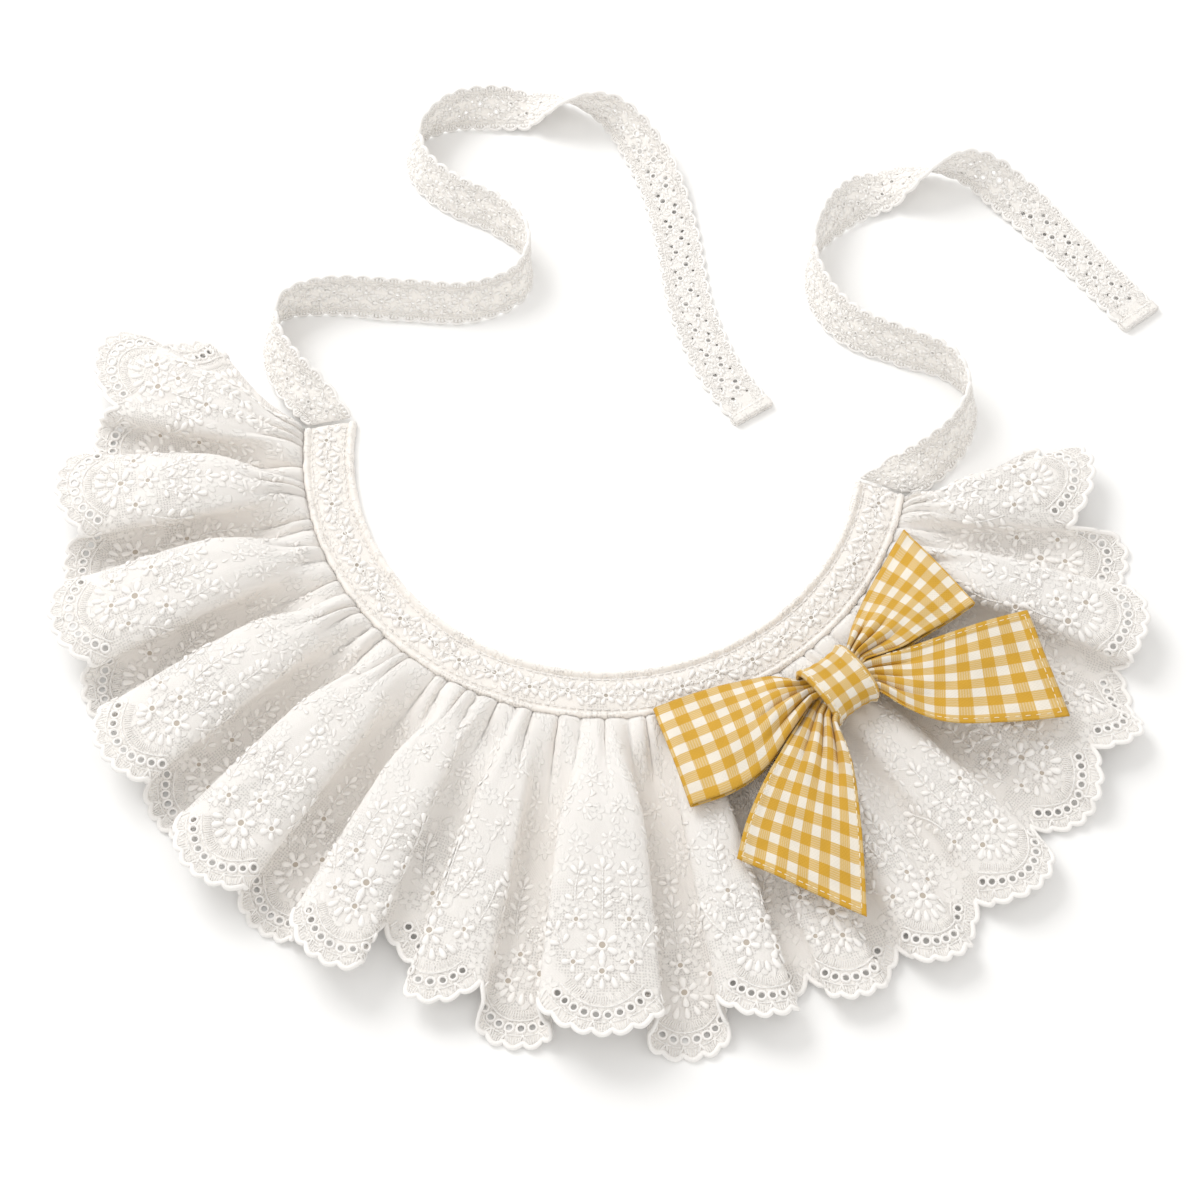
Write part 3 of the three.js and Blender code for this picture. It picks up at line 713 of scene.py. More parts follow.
def sewing_tree():
    tree = bpy.data.node_groups.new("sew_on_points", "GeometryNodeTree")
    for label, kind in SEWING_INPUTS.items():
        tree.interface.new_socket(name=label, in_out="INPUT", socket_type=kind)
    tree.interface.new_socket(
        name="Stitches", in_out="OUTPUT", socket_type="NodeSocketGeometry")
    nodes, links = tree.nodes, tree.links
    into = nodes.new("NodeGroupInput")
    out = nodes.new("NodeGroupOutput")
    held = {}
    for name in ("facing", "along", "size"):
        node = nodes.new("GeometryNodeInputNamedAttribute")
        node.data_type = "FLOAT_VECTOR"
        node.inputs["Name"].default_value = name
        held[name] = node.outputs["Attribute"]
    turn = nodes.new("FunctionNodeAxesToRotation")
    links.new(held["facing"], turn.inputs["Primary Axis"])
    links.new(held["along"], turn.inputs["Secondary Axis"])
    chance = nodes.new("FunctionNodeRandomValue")
    chance.data_type = "FLOAT"
    chance.inputs[2].default_value = -1
    chance.inputs[3].default_value = 1
    links.new(into.outputs["Seed"], chance.inputs["Seed"])
    uneven = nodes.new("ShaderNodeMath")
    uneven.operation = "MULTIPLY_ADD"
    links.new(chance.outputs[1], uneven.inputs[0])
    links.new(into.outputs["Unevenness"], uneven.inputs[1])
    uneven.inputs[2].default_value = 1
    size = nodes.new("ShaderNodeVectorMath")
    size.operation = "SCALE"
    links.new(held["size"], size.inputs[0])
    links.new(uneven.outputs[0], size.inputs["Scale"])
    mark = nodes.new("GeometryNodeObjectInfo")
    links.new(into.outputs["Mark"], mark.inputs["Object"])
    place = nodes.new("GeometryNodeInstanceOnPoints")
    links.new(into.outputs["Points"], place.inputs["Points"])
    links.new(mark.outputs["Geometry"], place.inputs["Instance"])
    links.new(turn.outputs["Rotation"], place.inputs["Rotation"])
    links.new(size.outputs[0], place.inputs["Scale"])
    real = nodes.new("GeometryNodeRealizeInstances")
    links.new(place.outputs["Instances"], real.inputs["Geometry"])
    finish = nodes.new("GeometryNodeSetMaterial")
    links.new(real.outputs["Geometry"], finish.inputs["Geometry"])
    links.new(into.outputs["Finish"], finish.inputs["Material"])
    links.new(finish.outputs["Geometry"], out.inputs["Stitches"])
    return tree


SEWING = sewing_tree()
SEWING_SOCKETS = {
    item.name: item.identifier for item in SEWING.interface.items_tree
    if item.in_out == "INPUT"
}


def sew(name, mark, finish, spots, turns, sizes, lift, seed, unevenness):
    """Sets one mark on every spot. turns are degrees from the cloth's own direction."""
    angle = np.radians(turns)[:, None]
    runs = spots.along * np.cos(angle) + spots.across * np.sin(angle)
    mesh = bpy.data.meshes.new(name)
    mesh.from_pydata(to_metres(spots.point + spots.facing * lift).tolist(), [], [])
    for key, values in (("facing", spots.facing), ("along", runs), ("size", sizes * MM)):
        attribute = mesh.attributes.new(key, "FLOAT_VECTOR", "POINT")
        attribute.data.foreach_set("vector", np.asarray(values, np.float32).ravel())
    piece = bpy.data.objects.new(name, mesh)
    bpy.context.scene.collection.objects.link(piece)
    modifier = piece.modifiers.new("sewing", "NODES")
    modifier.node_group = SEWING
    modifier[SEWING_SOCKETS["Mark"]] = mark
    modifier[SEWING_SOCKETS["Finish"]] = finish
    modifier[SEWING_SOCKETS["Unevenness"]] = unevenness
    modifier[SEWING_SOCKETS["Seed"]] = seed
    return baked(piece)


print("sewing inputs:", ", ".join(SEWING_SOCKETS))

# %% [markdown]
# ## Cloth with eyelets
# Openwork has true holes. The flat outline, a ring of points round each eyelet and a field of
# points between them are joined into triangles by a constrained Delaunay triangulation, the
# triangles inside the eyelets are left out, and what remains is laid on the surface. A regular
# grid would cut the eyelets into steps.

# %% Flat cloth with holes, laid on a surface
EYELET_SIDES = 10


def openwork(name, surface, outline, field, eyelets, inside, thickness, finish):
    """eyelets are rows of place a, place b and radius on the flat cloth."""
    turns = np.arange(EYELET_SIDES) * 2 * math.pi / EYELET_SIDES
    circle = np.column_stack([np.cos(turns), np.sin(turns)])
    rims = [row[:2] + circle * row[2] for row in eyelets]
    for row in eyelets:
        away = np.hypot(field[:, 0] - row[0], field[:, 1] - row[1])
        field = field[away > row[2] + 0.45]
    points = np.vstack([outline, *rims, field])
    edges = [(i, (i + 1) % len(outline)) for i in range(len(outline))]
    start = len(outline)
    for _ in rims:
        edges += [(start + i, start + (i + 1) % EYELET_SIDES) for i in range(EYELET_SIDES)]
        start += EYELET_SIDES
    made = delaunay_2d_cdt([Vector(p) for p in points.tolist()], edges, [], 1, 1e-5)
    flat = np.array([tuple(p) for p in made[0]])
    faces = np.array(made[2])
    middle = flat[faces].mean(axis=1)
    keep = inside(middle[:, 0], middle[:, 1])
    for row in eyelets:
        keep &= np.hypot(middle[:, 0] - row[0], middle[:, 1] - row[1]) > row[2] * 0.97
    sheet = make_piece(name, surface(flat[:, 0], flat[:, 1]), faces[keep].tolist(), flat, finish)
    return thicken(sheet, thickness)


print("an eyelet has", EYELET_SIDES, "sides")

# %% [markdown]
# ## The neckband
# The band is a half circle of embroidered cotton with both long edges rolled over a cord, so
# they stand up and pucker. It is swept as one closed form round the neck curve: the profile has
# the rolls, the groove of the topstitching beside each and the slightly padded middle.

# %% Band sizes and surface
NECK_RADIUS = 73.0
BAND_WIDTH = 15.0
BAND_ROLL_HEIGHT = 3.0
BAND_ROLL_WIDTH = 2.4
BAND_GROOVE = 2.0                   # height of the cloth at the topstitching
BAND_START = (181.0, 184.0)         # angle of the cut end at the inner and outer edge
BAND_END = (358.5, 356.5)
BAND_STEP = 0.8


def polar(radius, angle, height):
    turn = np.radians(angle)
    radius, turn, height = np.broadcast_arrays(radius, turn, height)
    return np.stack([radius * np.cos(turn), radius * np.sin(turn), height], axis=-1)


def band_angle(across, share):
    start = mix(BAND_START[0], BAND_START[1], across)
    end = mix(BAND_END[0], BAND_END[1], across)
    return mix(start, end, share)


BAND_LENGTH = math.radians(175) * (NECK_RADIUS + BAND_WIDTH / 2)


def band_top(along, across_mm):
    """The band's upper face: along its middle line, and across from its inner edge."""
    share = along / BAND_LENGTH
    from_edge = np.minimum(across_mm, BAND_WIDTH - across_mm)
    roll = np.sqrt(np.clip(1 - (from_edge / (BAND_ROLL_WIDTH / 2) - 1) ** 2, 0, 1))
    pucker = ripple(along, across_mm, 0.38, 0.06, 4.0)
    in_roll = np.clip((BAND_ROLL_WIDTH - from_edge) / 0.5, 0, 1)
    cushion = 0.35 * ease((from_edge - BAND_ROLL_WIDTH) / 2.2)
    crinkle = 0.3 * ripple(along, across_mm, 0.5, 0.35, 9.0)
    middle = BAND_GROOVE + cushion + crinkle
    edge = mix(0.9, BAND_ROLL_HEIGHT, roll) + 0.65 * pucker * roll
    height = mix(middle, edge, in_roll)
    edge_side = np.sign(across_mm - BAND_WIDTH / 2) * np.clip(1 - from_edge / 1.5, 0, 1)
    radius = NECK_RADIUS + across_mm + 0.22 * pucker * edge_side
    return polar(radius, band_angle(across_mm / BAND_WIDTH, share), height)


across_steps = np.array([0, .25, .6, 1.05, 1.5, 1.95, 2.25, 2.5, 3.1, 4.2, 5.4, 6.5, 7.5])
across_steps = np.concatenate([across_steps, BAND_WIDTH - across_steps[-2::-1]])
band_steps = np.linspace(0, BAND_LENGTH, round(BAND_LENGTH / BAND_STEP) + 1)
a, b, top_faces = grid_places(band_steps, across_steps)
top = band_top(a, b)
under = top.copy()
under[:, 2] = 0.0
wide = len(band_steps)
high = len(across_steps)
rim = [row * wide for row in range(high)]
rim = list(range(wide)) + [r + wide - 1 for r in rim[1:]] \
    + list(range((high - 1) * wide + wide - 2, (high - 1) * wide - 1, -1)) + rim[-2:0:-1]
count = len(top)
faces = [tuple(reversed(face)) for face in top_faces]
faces += [tuple(count + i for i in face) for face in top_faces]
faces += [(i, j, count + j, count + i) for i, j in zip(rim, rim[1:] + rim[:1])]
flat = np.column_stack([a, b])
band = make_piece("band_cloth", np.vstack([top, under]), faces, np.vstack([flat, flat]),
                  BAND_COTTON)
print("band", round(BAND_LENGTH, 1), "mm long,", triangles_of(band), "triangles")

# %% [markdown]
# ### Embroidery on the band
# A row of small flowers follows the middle of the band on a wavy stem, with leaves and pinhead
# eyelets between them. The eyelets, and the middles of the flowers, are raised rings round flat
# discs of painted shade, as the band is not cut through. The topstitching beside each roll and
# across both ends holds it down.

# %% Marks of the band
Mark = namedtuple("Mark", "a b turn length width height")


def marks(rows):
    return np.array([tuple(row) for row in rows], float)


def flower(a, b, petals, reach, length, width, height, turn=0.0):
    """Petals set round a place, each pointing away from it."""
    rows = []
    for step in range(petals):
        angle = turn + 360 * step / petals
        x = a + reach * math.cos(math.radians(angle))
        y = b + reach * math.sin(math.radians(angle))
        rows.append(Mark(x, y, angle, length, width, height))
    return rows


def running(points, gap, length, width, height):
    """Straight stitches along a line of flat places."""
    line = np.asarray(points, float)
    reach = reach_along(line)
    at = np.arange(gap / 2, reach[-1], gap)
    here = on_line(line, reach, at)
    ahead = on_line(line, reach, at + 0.1) - here
    turns = np.degrees(np.arctan2(ahead[:, 1], ahead[:, 0]))
    return [Mark(x, y, turn, length, width, height) for (x, y), turn in zip(here, turns)]

BAND_FLOWER_GAP = 10.6
BAND_MIDDLE = BAND_WIDTH / 2
petals = []
rings = []
stems = []
flowers_on_band = round(BAND_LENGTH / BAND_FLOWER_GAP)
for number in range(flowers_on_band):
    place = (number + 0.5) * BAND_LENGTH / flowers_on_band
    side = 0.5 if number % 2 else -0.5
    petals += flower(place, BAND_MIDDLE + side, 5, 1.75, 2.4, 1.75, 0.75, 18 + 31 * number)
    rings.append(Mark(place, BAND_MIDDLE + side, 0, 0.8, 0.8, 0.42))
    for lean in (-1, 1):
        rings.append(Mark(place + 2.75 * lean, BAND_MIDDLE, 0, 0.55, 0.55, 0.32))
        for drop in (-1, 1):
            petals.append(Mark(place + 3.6 * lean, BAND_MIDDLE + 2.4 * drop,
                               48 * lean * drop, 3.0, 1.6, 0.6))
    petals.append(Mark(place + 5.3, BAND_MIDDLE + 1.5, 90, 2.0, 1.3, 0.55))
    petals.append(Mark(place + 5.3, BAND_MIDDLE - 1.5, 270, 2.0, 1.3, 0.55))
wave_at = np.linspace(0, BAND_LENGTH, 400)
wave = BAND_MIDDLE - 0.6 * np.cos(wave_at * math.pi * flowers_on_band / BAND_LENGTH * 2)
stems += running(np.column_stack([wave_at, wave]), 1.5, 1.45, 0.62, 0.4)
topstitch = []
for line in (BAND_ROLL_WIDTH + 0.55, BAND_WIDTH - BAND_ROLL_WIDTH - 0.55):
    topstitch += running([(1.6, line), (BAND_LENGTH - 1.6, line)], 2.3, 1.75, 0.5, 0.42)
for end in (1.7, BAND_LENGTH - 1.7):
    topstitch += running([(end, 2.8), (end, BAND_WIDTH - 2.8)], 2.0, 1.5, 0.5, 0.42)


def sew_marks(name, mark, finish, surface, rows, lift=0.2, seed=1, both_sides=False,
              unevenness=0.08):
    table = marks(rows)
    spots = spots_on(surface, table[:, 0], table[:, 1])
    turns, sizes = table[:, 2], table[:, 3:6]
    if both_sides:
        spots = Spot(*(np.vstack([one, one]) for one in spots[:3]),
                     np.vstack([spots.facing, -spots.facing]))
        turns = np.concatenate([turns, turns])
        sizes = np.vstack([sizes, sizes])
    return sew(name, mark, finish, spots, turns, sizes, lift, seed, unevenness)


def band_top_up(along, across_mm):
    """The band's face, run so that it faces up."""
    return band_top(along, BAND_WIDTH - across_mm)


# Painted shade: a flat dark disc inside each ring stands for the pinhole, as the band is not cut
# through.
SHADE_DISC_SHARE = 0.8                 # of the ring round it
pinholes = [ring._replace(length=ring.length * SHADE_DISC_SHARE, width=ring.width * SHADE_DISC_SHARE)
            for ring in rings]
for name, mark, finish, rows, lift in (
        ("band_pinholes", SHADE_DISC, SHADE, pinholes, 0.2),
        ("band_petals", PETAL, WHITE_THREAD, petals, 0.0),
        ("band_rings", RING, WHITE_THREAD, rings, 0.1),
        ("band_stems", STITCH, WHITE_THREAD, stems, 0.0),
        ("band_topstitch", STITCH, NATURAL_THREAD, topstitch, 0.05)):
    sew_marks(name, mark, finish, band_top_up, rows, lift)
    print(name, "has", len(rows), "marks")

# %% [markdown]
# ## The ruffle
# A strip of eyelet lawn is gathered into the band and falls into flutes. Each flute's crest and
# the valley after it are a row in a table, as in the solid under it. Along the hem the cloth is
# measured, so that scallops, fans and eyelets keep their size over crests and valleys alike.

# %% Flutes of the ruffle
Flute = namedtuple(
    "Flute", "crest reach height steep valley valley_reach floor crest_at valley_at")
RUFFLE_START = (167.0, 127.0, 0.0)  # angle, reach and floor of the free left end
FLUTES = [                          # the last two count scallops from the free left end
    Flute(179, 152, 11, 0.6, 187.5, 149, 0, 1.40, 2.26),
    Flute(195, 158, 15, 0.95, 203, 160, 0, 3.22, 4.20),
    Flute(210.5, 167, 16, 1.0, 218, 167, 0, 5.20, 6.20),
    Flute(224.5, 172, 16, 1.0, 231.5, 171, 0, 7.16, 8.14),
    Flute(238.5, 177, 15, 0.95, 246, 177, 0, 9.14, 10.18),
    Flute(252.5, 180, 15, 0.9, 258, 171, 5, 11.14, 11.86),
    Flute(263.5, 180, 9, 0.7, 269, 185, 0, 12.45, 13.14),
    Flute(277, 184, 15, 1.0, 285, 188, 0, 14.20, 15.25),
    Flute(291, 183, 11, 0.85, 295, 182, 1.5, 16.10, 16.66),
    Flute(299, 184, 8, 0.6, 303, 184, 2, 17.15, 17.62),
    Flute(307, 185, 8, 0.5, 311, 184, 2, 18.10, 18.58),
    Flute(317, 182, 8, 0.4, 323, 177, 1, 19.20, 19.88),
    Flute(332, 176, 8, 0.4, 339, 170, 0, 20.80, 21.55),
    Flute(345, 164, 11, 0.7, 352, 154, 0, 22.28, 23.16),
    Flute(362.5, 141, 10, 0.6, 370.5, 133, 0, 24.21, 25.0),
]
SCALLOPS = 25
PITCH = 32.4
HEM = SCALLOPS * PITCH
SEAM_RADIUS = NECK_RADIUS + BAND_WIDTH - 0.05
SEAM_HEIGHT = 1.4
FLUTE_RISE = 0.42
HEM_DROOP = 0.2
CREST_SPREAD = 0.3
WALL_TUCK = 1.8                     # above 1 the cloth tucks in under its own crests
SEAM_SQUEEZE = 0.14
SEAM_SQUEEZE_POWER = 5
LAWN_THICKNESS = 0.4
LOWEST_LAWN = 0.5


def half_flutes():
    rows = []
    low = RUFFLE_START
    for flute in FLUTES:
        valley = (flute.valley, flute.valley_reach, flute.floor)
        top_of = (flute.crest, flute.reach, flute.height, flute.steep)
        rows.append((*low, *top_of, 1))
        rows.append((*valley, *top_of, 0))
        low = valley
    return np.array(rows, float)


HALVES = half_flutes()


def flute_parts(half, share):
    low_angle, low_reach, floor, crest, reach, height, steep, rising = HALVES[half].T
    climb = np.where(rising > 0, share, 1 - share)
    wall = WALL_TUCK * steep * np.sin(2 * math.pi * climb) / (2 * math.pi)
    wall -= CREST_SPREAD * np.sin(math.pi * climb) / math.pi
    span = crest - low_angle
    lifted = np.sin(math.pi / 2 * np.clip((climb - 0.08) / 0.88, 0, 1) ** 1.35)
    return (low_angle + span * climb, span * wall,
            mix(low_reach, reach, ease(climb)), mix(floor, height, lifted))


STEPS_PER_HALF = 49
hem_half = np.repeat(np.arange(len(HALVES)), STEPS_PER_HALF)
hem_share = np.tile(np.linspace(0, 1, STEPS_PER_HALF), len(HALVES))
straight, shift, reach, height = flute_parts(hem_half, hem_share)
hem_points = polar(reach, straight + shift, height * (1 - HEM_DROOP))
hem_steps = np.linalg.norm(np.diff(hem_points, axis=0), axis=1)
hem_steps = np.append(hem_steps, 0).reshape(len(HALVES), STEPS_PER_HALF)
hem_steps[:, -1] = 0
marks_at = [0.0]
for flute in FLUTES:
    marks_at += [flute.crest_at, flute.valley_at]
marks_at = np.array(marks_at) * PITCH
walked = np.cumsum(hem_steps, axis=1) - hem_steps
laid = walked / walked[:, -1:] * np.diff(marks_at)[:, None] + marks_at[:-1, None]
hem_reach = laid.ravel()
print(len(FLUTES), "flutes take", round(HEM), "mm of hem, worked over",
      round(float(walked[:, -1].sum())), "mm of folds")

# %% [markdown]
# ### The ruffle's surface
# One function gives the lawn's middle at any distance along the hem and up from it. It adds what
# the solid leaves out: the puffs where the gathering threads pull the cloth against the band,
# each with its own length, and a faint crinkle that runs from the seam to the hem.

# %% Ruffle surface
GATHERS = 52
GATHER_PUFF = 3.3                   # height of a puff beside the band
GATHER_START = 1.8                  # distance from the seam where it is highest


def hem_place(along):
    low = np.clip(np.searchsorted(hem_reach, along, side="right") - 1, 0, len(hem_reach) - 2)
    span = hem_reach[low + 1] - hem_reach[low]
    fraction = np.where(span > 1e-9, (along - hem_reach[low]) / np.maximum(span, 1e-9), 0)
    same = hem_half[low] == hem_half[low + 1]
    share = np.where(same, mix(hem_share[low], hem_share[low + 1], fraction), hem_share[low])
    return hem_half[low], share


def seam_angle(angle):
    lean = (angle - 270) / 100
    return 270 + 100 * lean * (1 - SEAM_SQUEEZE * np.abs(lean) ** SEAM_SQUEEZE_POWER)


def scatter(number, seed):
    """A repeatable value from 0 to 1 for each whole number."""
    return np.modf(np.abs(np.sin(number * 12.9898 + seed * 78.233)) * 43758.5453)[0]


def ruffle_depth(along):
    """Flat depth of the strip, from the scallop tips to the seam."""
    half, share = hem_place(np.clip(along, 0, HEM))
    return flute_parts(half, share)[2] - SEAM_RADIUS


def gathers(along, depth, full):
    turns = GATHERS * along / HEM + 0.25 * np.sin(along * 0.047 + 1) + 0.12 * np.sin(along * 0.13)
    number = np.floor(turns + 0.5)
    puff = np.abs(np.cos(math.pi * turns)) ** 0.5
    size = 0.7 + 0.6 * scatter(number, 1)
    fade = 0.16 + 0.26 * scatter(number, 2)
    start = mix(0.45, 1, ease(depth * full / GATHER_START))
    near = GATHER_PUFF * size * puff * start * (1 - ease(depth / fade))
    far = 0.9 * (puff - 0.5) * ease(depth / 0.1) * (1 - ease(depth / (fade + 0.35)))
    return near + far * size


def ruffle_surface(along, up):
    along = np.clip(along, 0, HEM)
    half, share = hem_place(along)
    straight, shift, reach, height = flute_parts(half, share)
    full = reach - SEAM_RADIUS
    depth = np.clip(1 - up / full, 0, 1)
    angle = mix(seam_angle(straight), straight, depth) + shift * ease(depth / FLUTE_RISE)
    rise = np.sin(math.pi / 2 * np.minimum(1, depth / FLUTE_RISE))
    droop = 1 - HEM_DROOP * ease((depth - FLUTE_RISE) / (1 - FLUTE_RISE))
    seam = 1 - ease(depth / 0.17)
    settled = mix(LOWEST_LAWN, SEAM_HEIGHT - 0.5, seam)
    crinkle = 0.6 * ripple(along, up, 0.15, 0.03, 2.0) + 0.3 * ripple(along, up, 0.42, 0.09, 5.0)
    lifted = settled + height * rise * droop + gathers(along, depth, full)
    z = np.maximum(lifted + crinkle * (0.4 + 0.6 * (1 - seam)), LOWEST_LAWN - 0.15)
    return polar(mix(SEAM_RADIUS, reach, depth), angle, z)


print("strip depth at the front:", round(float(ruffle_depth(np.array([HEM / 2]))[0]), 1), "mm")

# %% [markdown]
# ### The scalloped hem
# Big scallops run along the strip and small fans run round each of them. The eyelets follow the
# scallop's own line further in, so their places are found by stepping square to that line.

# %% Scallops, fans and the row of eyelets
FANS_PER_SCALLOP = 7
FANS_BEFORE_FIRST_CUSP = 5
SCALLOP_DEPTH = 9.0
SCALLOP_ROUND = 2.2
FAN_DEPTH = 1.6
END_ROUND = 11.0                    # the two free corners of the strip are rounded
FAN_PITCH = PITCH / FANS_PER_SCALLOP
CUSP_SHIFT = (FANS_PER_SCALLOP - FANS_BEFORE_FIRST_CUSP) / FANS_PER_SCALLOP


def scallop_line(along):
    side = 2 * np.mod(along / PITCH + CUSP_SHIFT, 1) - 1
    return SCALLOP_DEPTH * np.abs(side) ** SCALLOP_ROUND


def hem_edge(along):
    fan = 2 * np.mod(along / FAN_PITCH, 1) - 1
    near_end = np.clip(1 - np.minimum(along, HEM - along) / END_ROUND, 0, 1)
    corner = END_ROUND * (1 - np.sqrt(1 - near_end ** 2))
    return scallop_line(along) + FAN_DEPTH * fan ** 2 + corner


def inside_scallop(number, inset, places):
    """Flat places along one scallop, at a distance inside its line, at even spacing."""
    cusp = (number - CUSP_SHIFT) * PITCH
    side = np.linspace(-0.995, 0.995, 200)
    along = cusp + (side + 1) / 2 * PITCH
    up = SCALLOP_DEPTH * np.abs(side) ** SCALLOP_ROUND
    slope = np.gradient(up, along)
    square = np.column_stack([-slope, np.ones_like(slope)]) / np.hypot(slope, 1)[:, None]
    line = np.column_stack([along, up]) + square * inset
    line_reach = reach_along(line)
    at = np.linspace(0, line_reach[-1], places + 1)
    at = (at[1:] + at[:-1]) / 2
    turn = np.interp(at, line_reach, np.degrees(np.arctan2(square[:, 1], square[:, 0])))
    return on_line(line, line_reach, at), turn


EYELETS_PER_SCALLOP = 10
EYELET_INSET = 5.7
EYELET_RADIUS = 0.86
row_eyelets = []
for number in range(-1, SCALLOPS + 2):
    here, _ = inside_scallop(number, EYELET_INSET, EYELETS_PER_SCALLOP)
    for a_place, b_place in here:
        if 2.2 < a_place < HEM - 2.2 and b_place > float(hem_edge(a_place)) + 2.4:
            row_eyelets.append((a_place, b_place, EYELET_RADIUS))
print(SCALLOPS, "scallops of", round(PITCH, 1), "mm,", len(row_eyelets), "eyelets in the rows")

# %% [markdown]
# ### Embroidery of the ruffle
# Whitework motifs are charted on squared paper once and worked again and again. Here a motif is a
# short chart of flowers, leaves and stems round the middle of a scallop. Three charts take
# turns, and every other one is worked mirrored, as a maker does to fill a long strip.

# %% Three charts of flowers, sprigs and rings of beads
Bloom = namedtuple("Bloom", "x y petals reach length width pinhole")
Sprig = namedtuple("Sprig", "x y turn bend length pairs")
Fan = namedtuple("Fan", "x y radius first last leaves")
CHARTS = [
    {
        "blooms": [
            Bloom(0, 19, 6, 2.7, 3.2, 2.4, 1.0), Bloom(0, 26.8, 5, 2.0, 2.5, 1.9, 0.8),
            Bloom(-8.2, 22.6, 5, 2.0, 2.6, 2.0, 0.75), Bloom(8.2, 22.6, 5, 2.0, 2.6, 2.0, 0.75),
            Bloom(0, 50, 5, 2.0, 2.5, 1.9, 0),
        ],
        "fans": [Fan(0, 19, 7.0, 205, 335, 7)],
        "sprigs": [
            Sprig(0, 31, 90, 0, 14, 4), Sprig(-3, 30, 125, -30, 12, 3),
            Sprig(3, 30, 55, 30, 12, 3), Sprig(-11.5, 25, 115, -20, 12, 3),
            Sprig(11.5, 25, 65, 20, 12, 3),
        ],
        "circles": [(-5.8, 36.5, 2.3), (5.8, 36.5, 2.3)],
    },
    {
        "blooms": [
            Bloom(-3.8, 18.6, 5, 2.3, 2.9, 2.2, 0.85), Bloom(4.4, 21.4, 6, 2.5, 3.0, 2.1, 0.95),
            Bloom(-1.6, 26.4, 5, 2.0, 2.5, 1.9, 0.8), Bloom(-9.6, 24.4, 4, 1.9, 2.5, 1.9, 0.65),
            Bloom(6, 36.5, 5, 2.2, 2.7, 2.0, 0.75),
        ],
        "fans": [Fan(0.5, 20, 7.4, 210, 330, 7)],
        "sprigs": [
            Sprig(5, 25.5, 80, 25, 8, 2), Sprig(-3, 30, 110, -35, 17, 5),
            Sprig(8.6, 24, 40, 40, 12, 3), Sprig(-9.8, 28.4, 100, 30, 13, 4),
            Sprig(6, 40, 75, 30, 10, 3),
        ],
        "circles": [(1.6, 32.6, 2.1), (12, 33.5, 2.0)],
    },
    {
        "blooms": [
            Bloom(0, 17.6, 5, 2.0, 2.5, 2.0, 0.8), Bloom(0, 24.6, 6, 2.9, 3.4, 2.4, 1.05),
            Bloom(-7.4, 20, 4, 1.8, 2.5, 1.9, 0.7), Bloom(7.4, 20, 4, 1.8, 2.5, 1.9, 0.7),
            Bloom(-7.2, 31.5, 5, 2.0, 2.5, 1.9, 0.75), Bloom(7.2, 31.5, 5, 2.0, 2.5, 1.9, 0.75),
        ],
        "fans": [Fan(0, 20.5, 7.8, 225, 315, 5)],
        "sprigs": [
            Sprig(0, 29.6, 90, 0, 17, 5), Sprig(-10, 23, 110, 25, 8, 2),
            Sprig(10, 23, 70, -25, 8, 2), Sprig(-7.6, 35, 100, -30, 11, 3),
            Sprig(7.6, 35, 80, 30, 11, 3),
        ],
        "circles": [(-3.8, 38.5, 1.9), (3.8, 38.5, 1.9)],
    },
]
RAISED = 0.6                        # height of a padded petal
LEAF = (3.0, 1.85)


def sprig_marks(sprig, middle, mirror):
    """A curved stem of straight stitches with pairs of leaves and one leaf at its tip."""
    shares = np.linspace(0, 1, 24)
    turn = np.radians(sprig.turn + sprig.bend * shares)
    step = sprig.length / 23
    x = sprig.x + np.cumsum(np.cos(turn)) * step
    y = sprig.y + np.cumsum(np.sin(turn)) * step
    x = middle + mirror * x
    heading = np.degrees(np.arctan2(np.sin(turn), mirror * np.cos(turn)))
    stems = running(np.column_stack([x, y]), 1.2, 1.3, 0.55, 0.42)
    leaves = [Mark(x[-1], y[-1], heading[-1], LEAF[0], LEAF[1], RAISED)]
    for pair in range(sprig.pairs):
        at = int((pair + 0.45) / sprig.pairs * 23)
        for lean in (-1, 1):
            leaf_turn = heading[at] + 50 * lean
            away = math.radians(heading[at] + 62 * lean)
            leaves.append(Mark(x[at] + 1.75 * math.cos(away), y[at] + 1.75 * math.sin(away),
                               leaf_turn, LEAF[0] * 0.92, LEAF[1] * 0.92, RAISED * 0.9))
    return stems, leaves


def chart_marks(chart, middle, mirror):
    """Petals, rings, stem stitches and discs of painted pinhole shade of a chart worked round a
    place on the hem.
    """
    petals, rings, stems, holes = [], [], [], []
    for bloom in chart["blooms"]:
        x = middle + mirror * bloom.x
        petals += flower(x, bloom.y, bloom.petals, bloom.reach, bloom.length, bloom.width,
                         RAISED, 90)
        if bloom.pinhole:
            # Painted shade: a dark disc in the flower's middle stands for its pinhole, as the lawn
            # is not cut there; a raised ring goes round it.
            dark = bloom.pinhole * 0.95
            rim = bloom.pinhole * 1.2
            holes.append(Mark(x, bloom.y, 0, dark, dark, 0.34))
            rings.append(Mark(x, bloom.y, 0, rim, rim, 0.42))
    for fan in chart["fans"]:
        for turn in np.linspace(fan.first, fan.last, fan.leaves):
            angle = math.radians(turn)
            petals.append(Mark(middle + mirror * (fan.x + fan.radius * math.cos(angle)),
                               fan.y + fan.radius * math.sin(angle) * 0.82,
                               turn if mirror > 0 else 180 - turn, 3.5, 2.1, RAISED))
    for sprig in chart["sprigs"]:
        found_stems, leaves = sprig_marks(sprig, middle, mirror)
        stems += found_stems
        petals += leaves
    for x, y, radius in chart["circles"]:
        beads = flower(middle + mirror * x, y, 9, radius, 1.3, 1.0, 0.45)
        petals += [bead._replace(turn=bead.turn + 90) for bead in beads]
    return petals, rings, stems, holes


print(len(CHARTS), "charts, the first with", len(CHARTS[0]["sprigs"]), "sprigs")

# %% [markdown]
# ### Working the strip
# The charts go round the middle of each scallop. Above them small flat sprays thin out towards
# the seam. Every mark is tested against the edges of the strip, because its two ends are cut
# down to less depth than its front.

